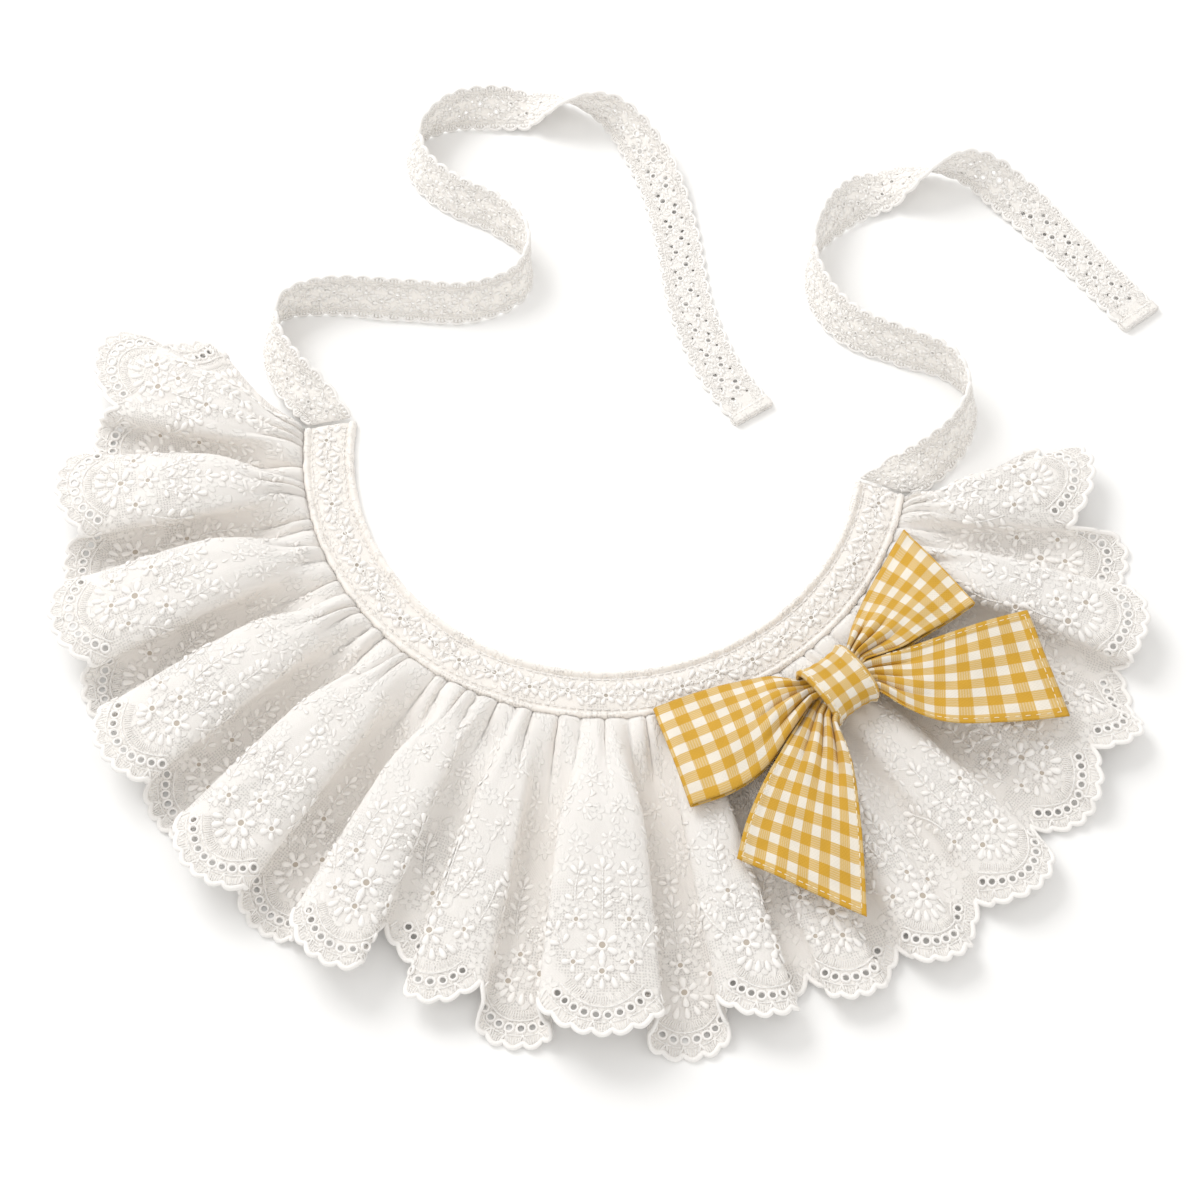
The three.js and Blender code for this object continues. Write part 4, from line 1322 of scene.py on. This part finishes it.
# %% All the marks of the ruffle
ruffle_petals, ruffle_rings, ruffle_stems, ruffle_hole_shades = [], [], [], []
for number in range(SCALLOPS + 1):
    middle = (number + 0.5 - CUSP_SHIFT) * PITCH
    chart = CHARTS[number % len(CHARTS)]
    mirror = 1 if number % 2 else -1
    found = chart_marks(chart, middle, mirror)
    ruffle_petals += found[0]
    ruffle_rings += found[1]
    ruffle_stems += found[2]
    ruffle_hole_shades += found[3]

generator = np.random.default_rng(7)
SPRAY_ROWS = [(53, 11.5), (62, 12.5), (72, 16.0)]
sprays = []
for row_up, gap in SPRAY_ROWS:
    for step in range(int(HEM / gap)):
        x = (step + 0.5 + generator.uniform(-0.3, 0.3)) * gap
        y = row_up + generator.uniform(-4, 4)
        turn = generator.uniform(0, 360)
        sprays += flower(x, y, 5, 1.7, 2.0, 1.4, 0.26, turn)
        for lean in (-1, 0, 1):
            leaf = turn + 55 * lean
            sprays.append(Mark(x + 4.4 * math.cos(math.radians(leaf)),
                               y + 4.4 * math.sin(math.radians(leaf)), leaf, 2.5, 1.2, 0.24))

EYELET_RING = 1.18
SATIN_INSET = 9.6
SATIN_PER_SCALLOP = 34
EDGE_LINES = [(7.9, 0.6, 0.5), (3.7, 0.5, 0.42)]    # inset, width and height of each
LINE_STITCHES = 26
ruffle_rings += [Mark(x, y, 0, EYELET_RING, EYELET_RING, 0.48) for x, y, _ in row_eyelets]
satin = []
edge_lines = []
for number in range(-1, SCALLOPS + 2):
    here, turn = inside_scallop(number, SATIN_INSET, SATIN_PER_SCALLOP)
    satin += [Mark(*place, way, 2.3, 0.46, 0.34) for place, way in zip(here, turn)]
    for inset, width, height in EDGE_LINES:
        here, turn = inside_scallop(number, inset, LINE_STITCHES)
        edge_lines += [Mark(*place, way - 90, 1.5, width, height)
                       for place, way in zip(here, turn)]

SPOKES = 7
fan_bars = []
for place in np.arange(0.5, int(HEM / FAN_PITCH) * SPOKES) / SPOKES * FAN_PITCH:
    slope = float(scallop_line(place + 0.1) - scallop_line(place - 0.1)) / 0.2
    long = math.hypot(1, slope)
    at_cusp = abs(2 * (place / FAN_PITCH % 1) - 1)
    from_edge = 1.75 + 0.2 * at_cusp
    splay = 26 * (2 * (place / FAN_PITCH % 1) - 1)
    fan_bars.append(Mark(place - slope / long * from_edge,
                         float(hem_edge(place)) + from_edge / long,
                         math.degrees(math.atan2(1, -slope)) - splay,
                         2.3 + 0.5 * at_cusp, 0.36 + 0.3 * (at_cusp > 0.8),
                         0.3 + 0.22 * (at_cusp > 0.8)))


def on_strip(rows, margin=1.2, seam_margin=5.0):
    """The marks that lie on the strip, clear of its hem, its seam and its two ends."""
    table = marks(rows)
    depth = ruffle_depth(table[:, 0])
    keep = (table[:, 0] > margin) & (table[:, 0] < HEM - margin)
    keep &= table[:, 1] < depth - seam_margin
    keep &= table[:, 1] > hem_edge(table[:, 0]) + 0.9
    return [row for row, kept in zip(rows, keep) if kept]


print(len(ruffle_petals), "petals,", len(sprays), "spray marks,", len(satin), "satin stitches,",
      len(ruffle_hole_shades), "pinholes")

# %% [markdown]
# ### Laying the lawn
# The flat strip is now cut out with all its eyelets and laid on the ruffle's surface. The field
# of points is closer near the hem, where there is most to see, and staggered, so that the
# triangles bend evenly over the flutes.

# %% The ruffle's cloth
def strip_field():
    rows = []
    shares = np.concatenate([np.linspace(0.015, 0.25, 9), np.linspace(0.29, 0.62, 9)])
    columns = np.arange(0.9, HEM - 0.9, 1.75)
    for index, share in enumerate(shares):
        stagger = 0.875 * (index % 2)
        at = np.clip(columns + stagger, 0.9, HEM - 0.9)
        rows.append(np.column_stack([at, (1 - share) * ruffle_depth(at)]))
    for index, up in enumerate(np.arange(1.2, 46, 1.9)):
        at = columns + 0.875 * (index % 2)
        at = at[at < HEM - 0.9]
        high_enough = (up > hem_edge(at) + 0.8) & (up < 0.37 * ruffle_depth(at))
        rows.append(np.column_stack([at[high_enough], np.full(high_enough.sum(), up)]))
    return np.vstack(rows)


def strip_outline():
    fine = np.linspace(0, HEM, SCALLOPS * FANS_PER_SCALLOP * 8 + 1)
    hem_side = np.column_stack([fine, hem_edge(fine)])
    coarse = np.linspace(HEM, 0, 520)
    seam_side = np.column_stack([coarse, ruffle_depth(coarse)])
    right = np.linspace(hem_side[-1], seam_side[0], 40)[1:-1]
    left = np.linspace(seam_side[-1], hem_side[0], 40)[1:-1]
    return np.vstack([hem_side, right, seam_side, left])


def on_lawn(a_place, b_place):
    return (b_place > hem_edge(a_place)) & (b_place < ruffle_depth(a_place) + 0.01)


ruffle = openwork("ruffle_cloth", ruffle_surface, strip_outline(), strip_field(),
                  np.array(row_eyelets), on_lawn, LAWN_THICKNESS, LAWN)
print("ruffle:", len(row_eyelets), "eyelets,", triangles_of(ruffle), "triangles")

# %% The ruffle's stitches
for name, mark, finish, rows, lift, seed, unevenness in (
        ("ruffle_petals", PETAL, WHITE_THREAD, ruffle_petals, 0.15, 2, 0.08),
        ("ruffle_sprays", PETAL, NATURAL_THREAD, sprays, 0.12, 3, 0.08),
        ("ruffle_rings", RING, WHITE_THREAD, ruffle_rings, 0.15, 4, 0.05),
        # painted shade: flat discs in the flower middles, where the lawn has no true hole
        ("ruffle_pinholes", SHADE_DISC, FLOWER_SHADE, ruffle_hole_shades, 0.3, 7, 0.08),
        ("ruffle_stitches", STITCH, WHITE_THREAD, ruffle_stems + edge_lines + fan_bars,
         0.15, 5, 0.08),
        ("ruffle_satin", STITCH, NATURAL_THREAD, satin, 0.12, 6, 0.08)):
    piece = sew_marks(name, mark, finish, ruffle_surface, on_strip(rows), lift, seed,
                      unevenness=unevenness)
    print(piece.name, triangles_of(piece), "triangles")

# %% [markdown]
# ### The corded edge
# Buttonhole stitch over a cord finishes the fans. It is a round thread bent along the edge, so a
# section is swept along a line of points, keeping one of its sides towards the cloth's face.

# %% A cord swept along a line
CORD_SIDES = 6

def sweep(name, points, facing, half_width, half_height, finish):
    """A round thread along a line of points, closed at its two ends."""
    count = len(points)
    following = np.vstack([points[1:], points[-1:]])
    before = np.vstack([points[:1], points[:-1]])
    heading = unit(following - before)
    sideways = unit(np.cross(facing, heading))
    upwards = np.cross(heading, sideways)
    rings = []
    for side in range(CORD_SIDES):
        angle = 2 * math.pi * side / CORD_SIDES
        rings.append(points + sideways * half_width * math.cos(angle)
                     + upwards * half_height * math.sin(angle))
    faces = tube_faces(count, CORD_SIDES)
    faces.append(tuple(range(CORD_SIDES)))
    faces.append(tuple((count - 1) * CORD_SIDES + side for side in reversed(range(CORD_SIDES))))
    flat = np.column_stack([np.repeat(reach_along(points), CORD_SIDES),
                            np.tile(np.arange(CORD_SIDES) * 0.5, count)])
    return make_piece(name, np.stack(rings, axis=1).reshape(-1, 3), faces, flat, finish)

CORD_HALF_WIDTH = 0.78
fine = np.linspace(0.4, HEM - 0.4, SCALLOPS * FANS_PER_SCALLOP * 10)
edge_spots = spots_on(ruffle_surface, fine, hem_edge(fine) + 0.35)
hem_cord = sweep("ruffle_hem_cord", edge_spots.point + edge_spots.facing * 0.12,
                 edge_spots.facing, CORD_HALF_WIDTH, 0.55, WHITE_THREAD)
print("hem cord:", triangles_of(hem_cord), "triangles")

# %% [markdown]
# ## The ties
# Each tie is a narrow lace tape that stands on its edge in the bends, twists over once and lies
# flat to its free end, where it is turned under and stitched. Its stations are rows of a table:
# where its middle is, how far it has turned about its own line and how high it is lifted.

# %% Tie stations
TIE_WIDTH = 14.0
TIE_CLOTH = 0.7
TIE_SOLID = 1.2                     # the thickness that the stations allow for
TIE_SQUARING = 12.0
Station = namedtuple("Station", "x y turn lift")
TIE_LEFT = [
    Station(-80.6, -2.1, 5, 0.6), Station(-87.5, 3.5, 18, 2.4), Station(-95.5, 10.5, 42, 1.8),
    Station(-101.5, 20, 64, 0.8), Station(-101, 32, 90, 0), Station(-89, 38, 114, 0),
    Station(-67, 40, 124, 0), Station(-45, 42, 120, 0), Station(-32, 51, 108, 0),
    Station(-32, 64, 84, 0), Station(-43, 74, 64, 0), Station(-58, 80, 60, 0),
    Station(-69, 89, 64, 0), Station(-71, 99, 78, 0), Station(-63, 109, 108, 0),
    Station(-47, 115, 150, 0.5), Station(-30, 118, 220, 1.5), Station(-13, 115, 292, 1),
    Station(1, 101, 338, 0), Station(11, 79, 357, 0), Station(19, 52, 360, 0),
    Station(30, 31, 360, 0), Station(42, 17, 360, 0),
]
TIE_RIGHT = [
    Station(80.4, -2.6, 172, 0.6), Station(87, 0.5, 158, 0.5), Station(94.5, 6.5, 138, 0),
    Station(101.5, 16, 120, 0), Station(104, 28, 102, 0), Station(97, 38, 78, 0),
    Station(82, 43, 62, 0), Station(67, 48, 60, 0), Station(57, 58, 66, 0),
    Station(53, 71, 84, 0), Station(57, 84, 112, 0), Station(66, 96, 150, 0.5),
    Station(80, 105, 212, 1.5), Station(96, 109, 282, 1), Station(110, 104, 336, 0.3),
    Station(124, 93, 356, 0), Station(138, 80, 360, 0), Station(153, 65, 360, 0),
]


def tie_surface(stations, start_heading):
    """A function of the distance along a tie and of the distance to its left, and its length."""
    dense = np.linspace(0, 1, 1500)
    plan = curve_through([(s.x, s.y, 0) for s in stations], dense)
    reach_at = reach_along(plan)
    rolls = curve_through([(i, s.turn, s.lift) for i, s in enumerate(stations)], dense)
    heading = unit(np.gradient(plan, axis=0))
    square = np.column_stack([heading[:, 1], -heading[:, 0], np.zeros(len(dense))])
    start = np.array([math.cos(math.radians(start_heading)),
                      math.sin(math.radians(start_heading)), 0])
    squared = ease(reach_at / TIE_SQUARING)[:, None]
    right = unit(mix(np.broadcast_to(start, square.shape), square, squared))
    lean = np.radians(rolls[:, 1])
    middle_height = (np.abs(np.sin(lean)) * TIE_WIDTH / 2 + np.abs(np.cos(lean)) * TIE_SOLID / 2
                     + np.maximum(rolls[:, 2], 0))

    def surface(along, left):
        at = np.clip(along, 0, reach_at[-1])
        columns = [np.interp(at, reach_at, line) for line in
                   (*plan.T[:2], *right.T[:2], lean, middle_height)]
        x, y, right_x, right_y, tilt, z = columns
        out = -left * np.cos(tilt)
        ruck = 0.22 * ripple(along, left, 0.2, 0.25, 3.0)
        return np.stack([x + right_x * (out - ruck * np.sin(tilt)),
                         y + right_y * (out - ruck * np.sin(tilt)),
                         z - left * np.sin(tilt) + ruck * np.cos(tilt)], axis=-1)

    return surface, reach_at[-1]


left_tie, LEFT_LENGTH = tie_surface(TIE_LEFT, 17)
right_tie, RIGHT_LENGTH = tie_surface(TIE_RIGHT, -9)
print("ties are", round(LEFT_LENGTH), "and", round(RIGHT_LENGTH), "mm long")

# %% [markdown]
# ### Lace tape
# The tape has picot edges, a running stitch inside each, and a chain of little flowers with
# pinholes along its middle. The holes are bigger and more open towards the free end. The pattern
# shows on both faces, since the tape is seen from either side as it twists.

# %% Tape with picots, pinholes and stitches
PICOT = 4.7
PICOT_DEPTH = 1.15
TAPE_FOLD = 3.5                     # the turned end


def tape_edge(along):
    return TIE_WIDTH / 2 - PICOT_DEPTH * (2 * np.mod(along / PICOT, 1) - 1) ** 2


def on_tape(a_place, b_place):
    return np.abs(b_place) < tape_edge(a_place)

def tape_marks(length):
    """Holes, petals, rings and running stitches, up to the turned end."""
    holes, petals, rings, lines = [], [], [], []
    end = length - TAPE_FOLD
    for number in range(int((end - 2) / PICOT)):
        place = (number + 0.7) * PICOT
        open_end = mix(0.5, 1.0, float(ease(place / length / 0.5 - 0.7)))
        side = 1.2 if number % 2 else -1.2
        ring = 0.8 * open_end + 0.2
        holes.append((place, side, 0.8 * open_end))
        holes.append((place + PICOT / 2, -side * 1.7, 0.62 * open_end))
        holes.append((place + PICOT / 2, side * 2.5, 0.45 * open_end))
        rings.append(Mark(place, side, 0, ring, ring, 0.36))
        petals += flower(place, side, 5, 1.85, 1.6, 1.2, 0.5, 40 * number)
        petals.append(Mark(place + 2.2, side * 0.6, 0, 1.9, 1.0, 0.45))
        for lean in (1, -1):
            petals.append(Mark(place + 0.9 * lean, -side * 2.6, 40 * lean, 1.8, 0.9, 0.42))
        for sign in (-1, 1):
            for step, turn in ((-1.5, 115), (-0.5, 97), (0.5, 83), (1.5, 65)):
                petals.append(Mark((number + 0.5) * PICOT + step, 5.6 * sign, turn * sign,
                                   1.4, 0.85, 0.42))
    for sign in (-1, 1):
        lines += running([(1, sign * 4.5), (end, sign * 4.5)], 2.2, 1.8, 0.5, 0.4)
        weave_at = np.linspace(1, end, 500)
        wave = 3.6 * sign + 0.4 * np.sin(weave_at * 2 * math.pi / PICOT)
        lines += running(np.column_stack([weave_at, wave]), 1.3, 1.25, 0.5, 0.34)
    return holes, petals, rings, lines

def tape_field(length):
    """Points inside the tape, in staggered rows."""
    columns = np.arange(0.8, length - 0.6, 1.15)
    rows = []
    for index, left in enumerate(np.linspace(-5.3, 5.3, 10)):
        at = columns + 0.55 * (index % 2)
        rows.append(np.column_stack([at, np.full(len(at), left)]))
    field = np.vstack(rows)
    return field[field[:, 0] < length - 0.5]

def tape_outline(length):
    """Both picot edges and the two straight ends, in one round."""
    along = np.linspace(0, length, int(length / PICOT * 8))
    edge = tape_edge(along)
    return np.vstack([np.column_stack([along, -edge]),
                      [(length, y) for y in np.linspace(-4.8, 4.8, 9)],
                      np.column_stack([along[::-1], edge[::-1]]),
                      [(0, y) for y in np.linspace(4.8, -4.8, 9)]])

def lace_tape(name, surface, length):
    """The tape's cloth, and the stitches, picots and turned end on it."""
    holes, petals, rings, lines = tape_marks(length)
    tape = openwork(f"{name}_tape", surface, tape_outline(length), tape_field(length),
                    np.array(holes), on_tape, TIE_CLOTH, TAPE_COTTON)
    pieces = [
        sew_marks(f"{name}_petals", PETAL, WHITE_THREAD, surface, petals, 0.3, 7, True),
        sew_marks(f"{name}_rings", RING, WHITE_THREAD, surface, rings, 0.3, 8, True),
        sew_marks(f"{name}_stitches", STITCH, NATURAL_THREAD, surface, lines, 0.3, 9, True),
    ]
    end = length - TAPE_FOLD
    for number, sign in enumerate((-1, 1)):
        fine = np.linspace(0.3, end, int(length / PICOT * 9))
        spots = spots_on(surface, fine, sign * (tape_edge(fine) - 0.25))
        pieces.append(sweep(f"{name}_picots_{number}", spots.point, spots.facing, 0.5, 0.62,
                            WHITE_THREAD))

    def turned_end(along_place, left):
        lifted = spots_on(surface, along_place, left)
        return lifted.point + lifted.facing * 0.85

    pieces.append(cloth_grid(f"{name}_turned_end", turned_end, np.linspace(end, length - 0.1, 6),
                             np.linspace(-6.4, 6.4, 14), 0.9, TAPE_COTTON))
    hem = running([(end + 0.7, -6), (end + 0.7, 6)], 1.9, 1.5, 0.4, 0.24)
    hem += running([(length - 0.7, -6), (length - 0.7, 6)], 1.9, 1.5, 0.4, 0.24)
    pieces.append(
        sew_marks(f"{name}_hem_stitches", STITCH, NATURAL_THREAD, turned_end, hem, 0.42))
    print(name, "has", len(holes), "holes and", triangles_of(tape), "triangles in its tape")
    return tape, pieces

left_tape, left_trim = lace_tape("tie_left", left_tie, LEFT_LENGTH)
right_tape, right_trim = lace_tape("tie_right", right_tie, RIGHT_LENGTH)

# %% [markdown]
# ## The bow
# The bow lies over the seam. Two loops are strips folded back on themselves, two tails are
# single strips, and a narrower strip wraps the middle. Pleats gather each piece where it goes
# under the knot. A place on each piece is read between its two edges, and the flat distance
# goes into the cloth map, so the check crowds together in the pleats as woven cloth does.

# %% Bow stations and rest
Edges = namedtuple("Edges", "right_x right_y left_x left_y")
BOW_LOOP_LEFT = [
    Edges(62.6, -72.6, 67.4, -80.4), Edges(54.8, -71.2, 62.2, -91.2),
    Edges(45.6, -73.6, 56.6, -102.5), Edges(35.2, -78.4, 49.2, -109.8),
    Edges(24.6, -84.2, 38.3, -115.8),
]
BOW_LOOP_TOP = [
    Edges(81, -65, 75.6, -61), Edges(90.2, -60.8, 76.6, -53), Edges(97.2, -54.8, 79, -43.5),
    Edges(103, -50.2, 83.4, -31.5), Edges(109.3, -44.4, 88.2, -19.2),
]
BOW_TAIL_RIGHT = [
    Edges(85.6, -74.6, 81.2, -65.4), Edges(94, -80, 91.2, -60.8),
    Edges(105, -82.2, 102.5, -55.2), Edges(121, -80, 113, -49.6), Edges(137.6, -75.4, 124, -44.3),
]
BOW_TAIL_LOWER = [
    Edges(67, -80.6, 74.8, -86.9), Edges(62, -93.4, 80, -99), Edges(57, -106.5, 83.4, -112.5),
    Edges(53.6, -118.4, 86, -127), Edges(52.2, -129, 88, -141.2),
]
BOW_REST_INNER = 3.9
BOW_REST_OUTER = 12.8
BOW_REST_RISE = 36.0
BOW_CLOTH = 0.5
KNOT_X, KNOT_Y, KNOT_HEADING = 74.0, -74.0, 44.0
KNOT_BOTTOM, KNOT_TOP = 7.0, 18.5
KNOT_LENGTH, KNOT_HALF_WRAP = 15.0, 9.0


def bow_rest(x, y):
    past = (np.hypot(x, y) - NECK_RADIUS - BAND_WIDTH) / BOW_REST_RISE
    return mix(BOW_REST_INNER, BOW_REST_OUTER, np.sin(math.pi / 2 * np.clip(past, 0, 1)))


def bow_place(stations, across, along):
    """across runs 0 right to 1 left; along runs 0 at the knot to 1, and below 0 inside it."""
    right = curve_through([(e.right_x, e.right_y, 0) for e in stations], along)
    left = curve_through([(e.left_x, e.left_y, 0) for e in stations], along)
    point = mix(right, left, across[:, None])
    point[:, 2] = bow_rest(point[:, 0], point[:, 1])
    inside_knot = np.clip(-along / 0.14, 0, 1)[:, None]
    root = mix(right, left, 0.5)
    root = mix(root, np.array([KNOT_X, KNOT_Y, 0.0]), 0.72) + (point - mix(right, left, 0.5)) * 0.6
    root[:, 2] = 11.5
    return mix(point, root, inside_knot)


def flat_sizes(stations):
    """Width of the cut at its wide end, and length from the knot to that end."""
    first, last = stations[0], stations[-1]
    width = math.hypot(last.right_x - last.left_x, last.right_y - last.left_y)
    start = np.array([(first.right_x + first.left_x) / 2, (first.right_y + first.left_y) / 2])
    end = np.array([(last.right_x + last.left_x) / 2, (last.right_y + last.left_y) / 2])
    return width, float(np.linalg.norm(end - start))


print("bow rests between", BOW_REST_INNER, "and", BOW_REST_OUTER, "mm over the table")

# %% [markdown]
# ### Pleats
# A pleat is a rounded ridge with a sharp crease beside it. Each has its own height and length,
# so that the folds run out unevenly into the flat cloth, and they all start under the knot.

# %% Pleats, loops and tails
PLEATS = 4.0
PLEAT_HEIGHT = 4.0
HEM_STEP = 0.35                     # rise of the turned and stitched hems


def pleats(across, along, seed):
    turns = PLEATS * across + 0.35
    number = np.floor(turns + 0.5)
    ridge = np.abs(np.cos(math.pi * turns)) ** 0.65
    size = 0.6 + 0.6 * scatter(number, seed)
    fade = 0.42 + 0.3 * scatter(number, seed + 1)
    return PLEAT_HEIGHT * size * ridge * (1 - ease(np.maximum(along, 0) / fade))


def turned_hem(from_edge):
    return HEM_STEP * ease((2.9 - from_edge) / 0.8)


ROOT = -0.14                        # how far a piece runs in under the knot
LAYER_GAP = 1.5
LOOP_PUFF = 3.2


def tail_surface(stations, seed):
    width, length = flat_sizes(stations)

    def surface(a_place, b_place):
        across = np.clip(1 - a_place / width, 0, 1)
        along = np.clip(b_place / length, ROOT, 1)
        point = bow_place(stations, across, along)
        arch = 1.6 * np.sin(math.pi * np.clip(along, 0, 1))
        wave = 0.5 * ripple(a_place, b_place, 0.09, 0.07, 6.0 + seed)
        point[:, 2] += arch + pleats(across, along, seed) + 0.7 + wave * ease(along / 0.3)
        sides = np.minimum(a_place, width - a_place)
        point[:, 2] += turned_hem(np.minimum(sides, length - b_place)) * ease(along / 0.3)
        return point

    return surface, width, length


def loop_surface(stations, seed):
    width, length = flat_sizes(stations)
    turn_length = math.pi * LAYER_GAP / 2

    def surface(a_place, b_place):
        across = np.clip(1 - a_place / width, 0, 1)
        turn = np.clip((b_place - length) / turn_length, 0, 1) * math.pi
        out = np.where(b_place < length, b_place, 2 * length + turn_length - b_place)
        tuck = LAYER_GAP / 2 / length
        along = np.clip(np.minimum(out / length, 1), ROOT, 1)
        flat_part = along * (1 - tuck)
        reach_out = np.where(turn > 0, np.where(turn < math.pi, 1 - tuck + tuck * np.sin(turn),
                                                flat_part), flat_part)
        point = bow_place(stations, across, reach_out)
        upper = (1 - np.cos(turn)) / 2
        swell = np.sin(math.pi * np.clip(flat_part, 0, 1)) ** 0.8 \
            * np.sin(math.pi * np.clip(across, 0, 1)) ** 0.7
        wave = 0.4 * ripple(a_place, b_place, 0.09, 0.07, 8.0 + seed)
        point[:, 2] += 0.7 + LAYER_GAP * upper + LOOP_PUFF * swell * (turn >= math.pi)
        point[:, 2] += pleats(across, flat_part, seed) * mix(0.45, 1.0, upper)
        hem = turned_hem(np.minimum(a_place, width - a_place))
        point[:, 2] += (wave + hem) * upper * ease(flat_part / 0.3)
        return point

    return surface, width, length, turn_length


print("a loop's two layers are", LAYER_GAP, "mm apart at the fold")

# %% Cutting the loops and tails
BOW_STITCH = (2.1, 1.5, 0.36, 0.28)  # gap, length, width and height
STITCH_START = 0.12                 # share of a piece's length where its topstitching begins

def stitched_lines(width, length, inset=1.4):
    """Topstitching along both edges and across the end."""
    start = STITCH_START * length
    end = length - inset
    rows = running([(inset, start), (inset, end)], *BOW_STITCH)
    rows += running([(width - inset, start), (width - inset, end)], *BOW_STITCH)
    rows += running([(inset, end), (width - inset, end)], *BOW_STITCH)
    return rows

def check_side_shift(width):
    """Sets a whole number of undyed stripes evenly over the width, with dyed ones at the edges."""
    undyed_stripes = round(width / CHECK / 2)
    return -width / 2 + (0 if undyed_stripes % 2 else CHECK)


TAIL_END_CHECK = 1.4                # checks from the middle of an undyed one to a tail's end
LOOP_END_CHECK = 0.8                # and to a loop's fold
BOW_THREAD = thread("bow_thread", (0.88, 0.77, 0.55))
bow_pieces = {}
for name, stations, seed in (("bow_tail_right", BOW_TAIL_RIGHT, 3),
                             ("bow_tail_lower", BOW_TAIL_LOWER, 11)):
    surface, width, length = tail_surface(stations, seed)
    shift = (check_side_shift(width), TAIL_END_CHECK * CHECK - length)
    cloth = cloth_grid(f"{name}_cloth", surface, np.linspace(0, width, 61),
                       np.linspace(ROOT * length, length, 71), BOW_CLOTH, GINGHAM, shift)
    trim = sew_marks(f"{name}_stitches", STITCH, BOW_THREAD, surface,
                     stitched_lines(width, length), 0.22)
    bow_pieces[name] = (cloth, trim, width, length)
for name, stations, seed in (("bow_loop_left", BOW_LOOP_LEFT, 5),
                             ("bow_loop_top", BOW_LOOP_TOP, 8)):
    surface, width, length, turn_length = loop_surface(stations, seed)
    whole = 2 * length + turn_length
    lengths = np.concatenate([
        np.linspace(ROOT * length, length, 50)[:-1],
        np.linspace(length, length + turn_length, 9)[:-1],
        np.linspace(length + turn_length, whole - ROOT * length, 60)])
    shift = (check_side_shift(width), -LOOP_END_CHECK * CHECK - whole / 2)
    cloth = cloth_grid(f"{name}_cloth", surface, np.linspace(0, width, 55), lengths,
                       BOW_CLOTH, GINGHAM, shift)
    edges = [row._replace(b=whole - row.b)
             for row in stitched_lines(width, length)]
    trim = sew_marks(f"{name}_stitches", STITCH, BOW_THREAD, surface, edges, 0.22)
    bow_pieces[name] = (cloth, trim, width, whole)
for name, (cloth, _, width, length) in bow_pieces.items():
    print(name, round(width, 1), "x", round(length, 1), "mm,", triangles_of(cloth), "triangles")

# %% [markdown]
# ### The knot
# A strip wraps the middle, from the front edge over the top and under again. It is narrower in
# the middle than at its two folded edges, and the pull of the bow draws faint creases round it.

# %% Knot strip
KNOT_PINCH = 0.9
knot_axis = np.array([math.cos(math.radians(KNOT_HEADING)),
                      math.sin(math.radians(KNOT_HEADING)), 0])
knot_side = np.array([knot_axis[1], -knot_axis[0], 0])
KNOT_ROUND = 55.0                   # length of the strip round the knot
KNOT_CUT = 17.6                     # width of the strip, drawn in by the pull of the bow
KNOT_CHECK = (3.2, 3.9)             # brings an undyed square to the middle of the top


def power(value, exponent):
    return np.sign(value) * np.abs(value) ** exponent


def knot_surface(round_place, along_place):
    share = 2 * along_place / KNOT_CUT - 1
    turn = -round_place / KNOT_ROUND * 2 * math.pi
    lip = 0.04 * np.exp(-((np.abs(share) - 0.86) / 0.1) ** 2)
    size = mix(1, KNOT_PINCH, 1 - share ** 2) * (1 + lip)
    size = size * (1 - 0.1 * ease((np.abs(share) - 0.93) / 0.07))
    crease = 1 + 0.012 * np.sin(along_place * 2.1 + np.sin(turn * 3))
    half_height = (KNOT_TOP - KNOT_BOTTOM) / 2
    out = np.cos(turn) * KNOT_HALF_WRAP * size * crease
    rise = power(np.sin(turn), 0.8) * half_height * size * crease
    point = np.array([KNOT_X, KNOT_Y, KNOT_BOTTOM + half_height + 0.25])
    return (point + knot_axis * (share * KNOT_LENGTH / 2)[:, None]
            + knot_side * out[:, None] + np.array([0, 0, 1]) * rise[:, None])


knot = cloth_grid("bow_knot_cloth", knot_surface, np.linspace(0, KNOT_ROUND, 65),
                  np.linspace(0, KNOT_CUT, 25), 0.9, GINGHAM, KNOT_CHECK)
knot_lines = []
for line in (1.3, KNOT_CUT - 1.3):
    knot_lines += running([(0, line), (KNOT_ROUND, line)], 2.4, 1.7, 0.42, 0.3)
knot_trim = sew_marks("bow_knot_stitches", STITCH, BOW_THREAD, knot_surface, knot_lines, 0.42)
print("knot strip", KNOT_ROUND, "x", KNOT_CUT, "mm")

# %% [markdown]
# ## Putting the pieces on the body
# Every piece rides on the collar's one body, and the solids that the cloth pieces dress are
# hidden.
# The flat area and the greatest depth of the ruffle strip are worked out from its outline.

# %% Pieces on the body, hidden solids and the strip's size
for piece in bpy.context.scene.objects:
    if piece.type == "MESH" and piece is not table and "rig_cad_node" not in piece:
        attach(piece, "root")

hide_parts("neckband")
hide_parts("ruffle")
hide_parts("tie_left")
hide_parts("tie_right")
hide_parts("bow_knot")
for name, (cloth, _, _, _) in bow_pieces.items():
    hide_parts(name)

for piece in bpy.context.scene.objects:
    if piece.type != "MESH" or piece is table or "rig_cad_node" in piece:
        continue

fine = np.linspace(0, HEM, 2000)
strip_area = float(np.trapz(ruffle_depth(fine) - scallop_line(fine), fine)) * MM ** 2
strip_deep = float(ruffle_depth(fine).max()) * MM
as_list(left_trim)
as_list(right_trim)
shown = list(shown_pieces())
print(len(shown), "pieces,", sum(triangles_of(piece) for piece in shown), "triangles")

# %% Sizes, and the last line
visual_box = [list(corner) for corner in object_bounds()]
print("visual box", [[round(value, 4) for value in corner] for corner in visual_box])
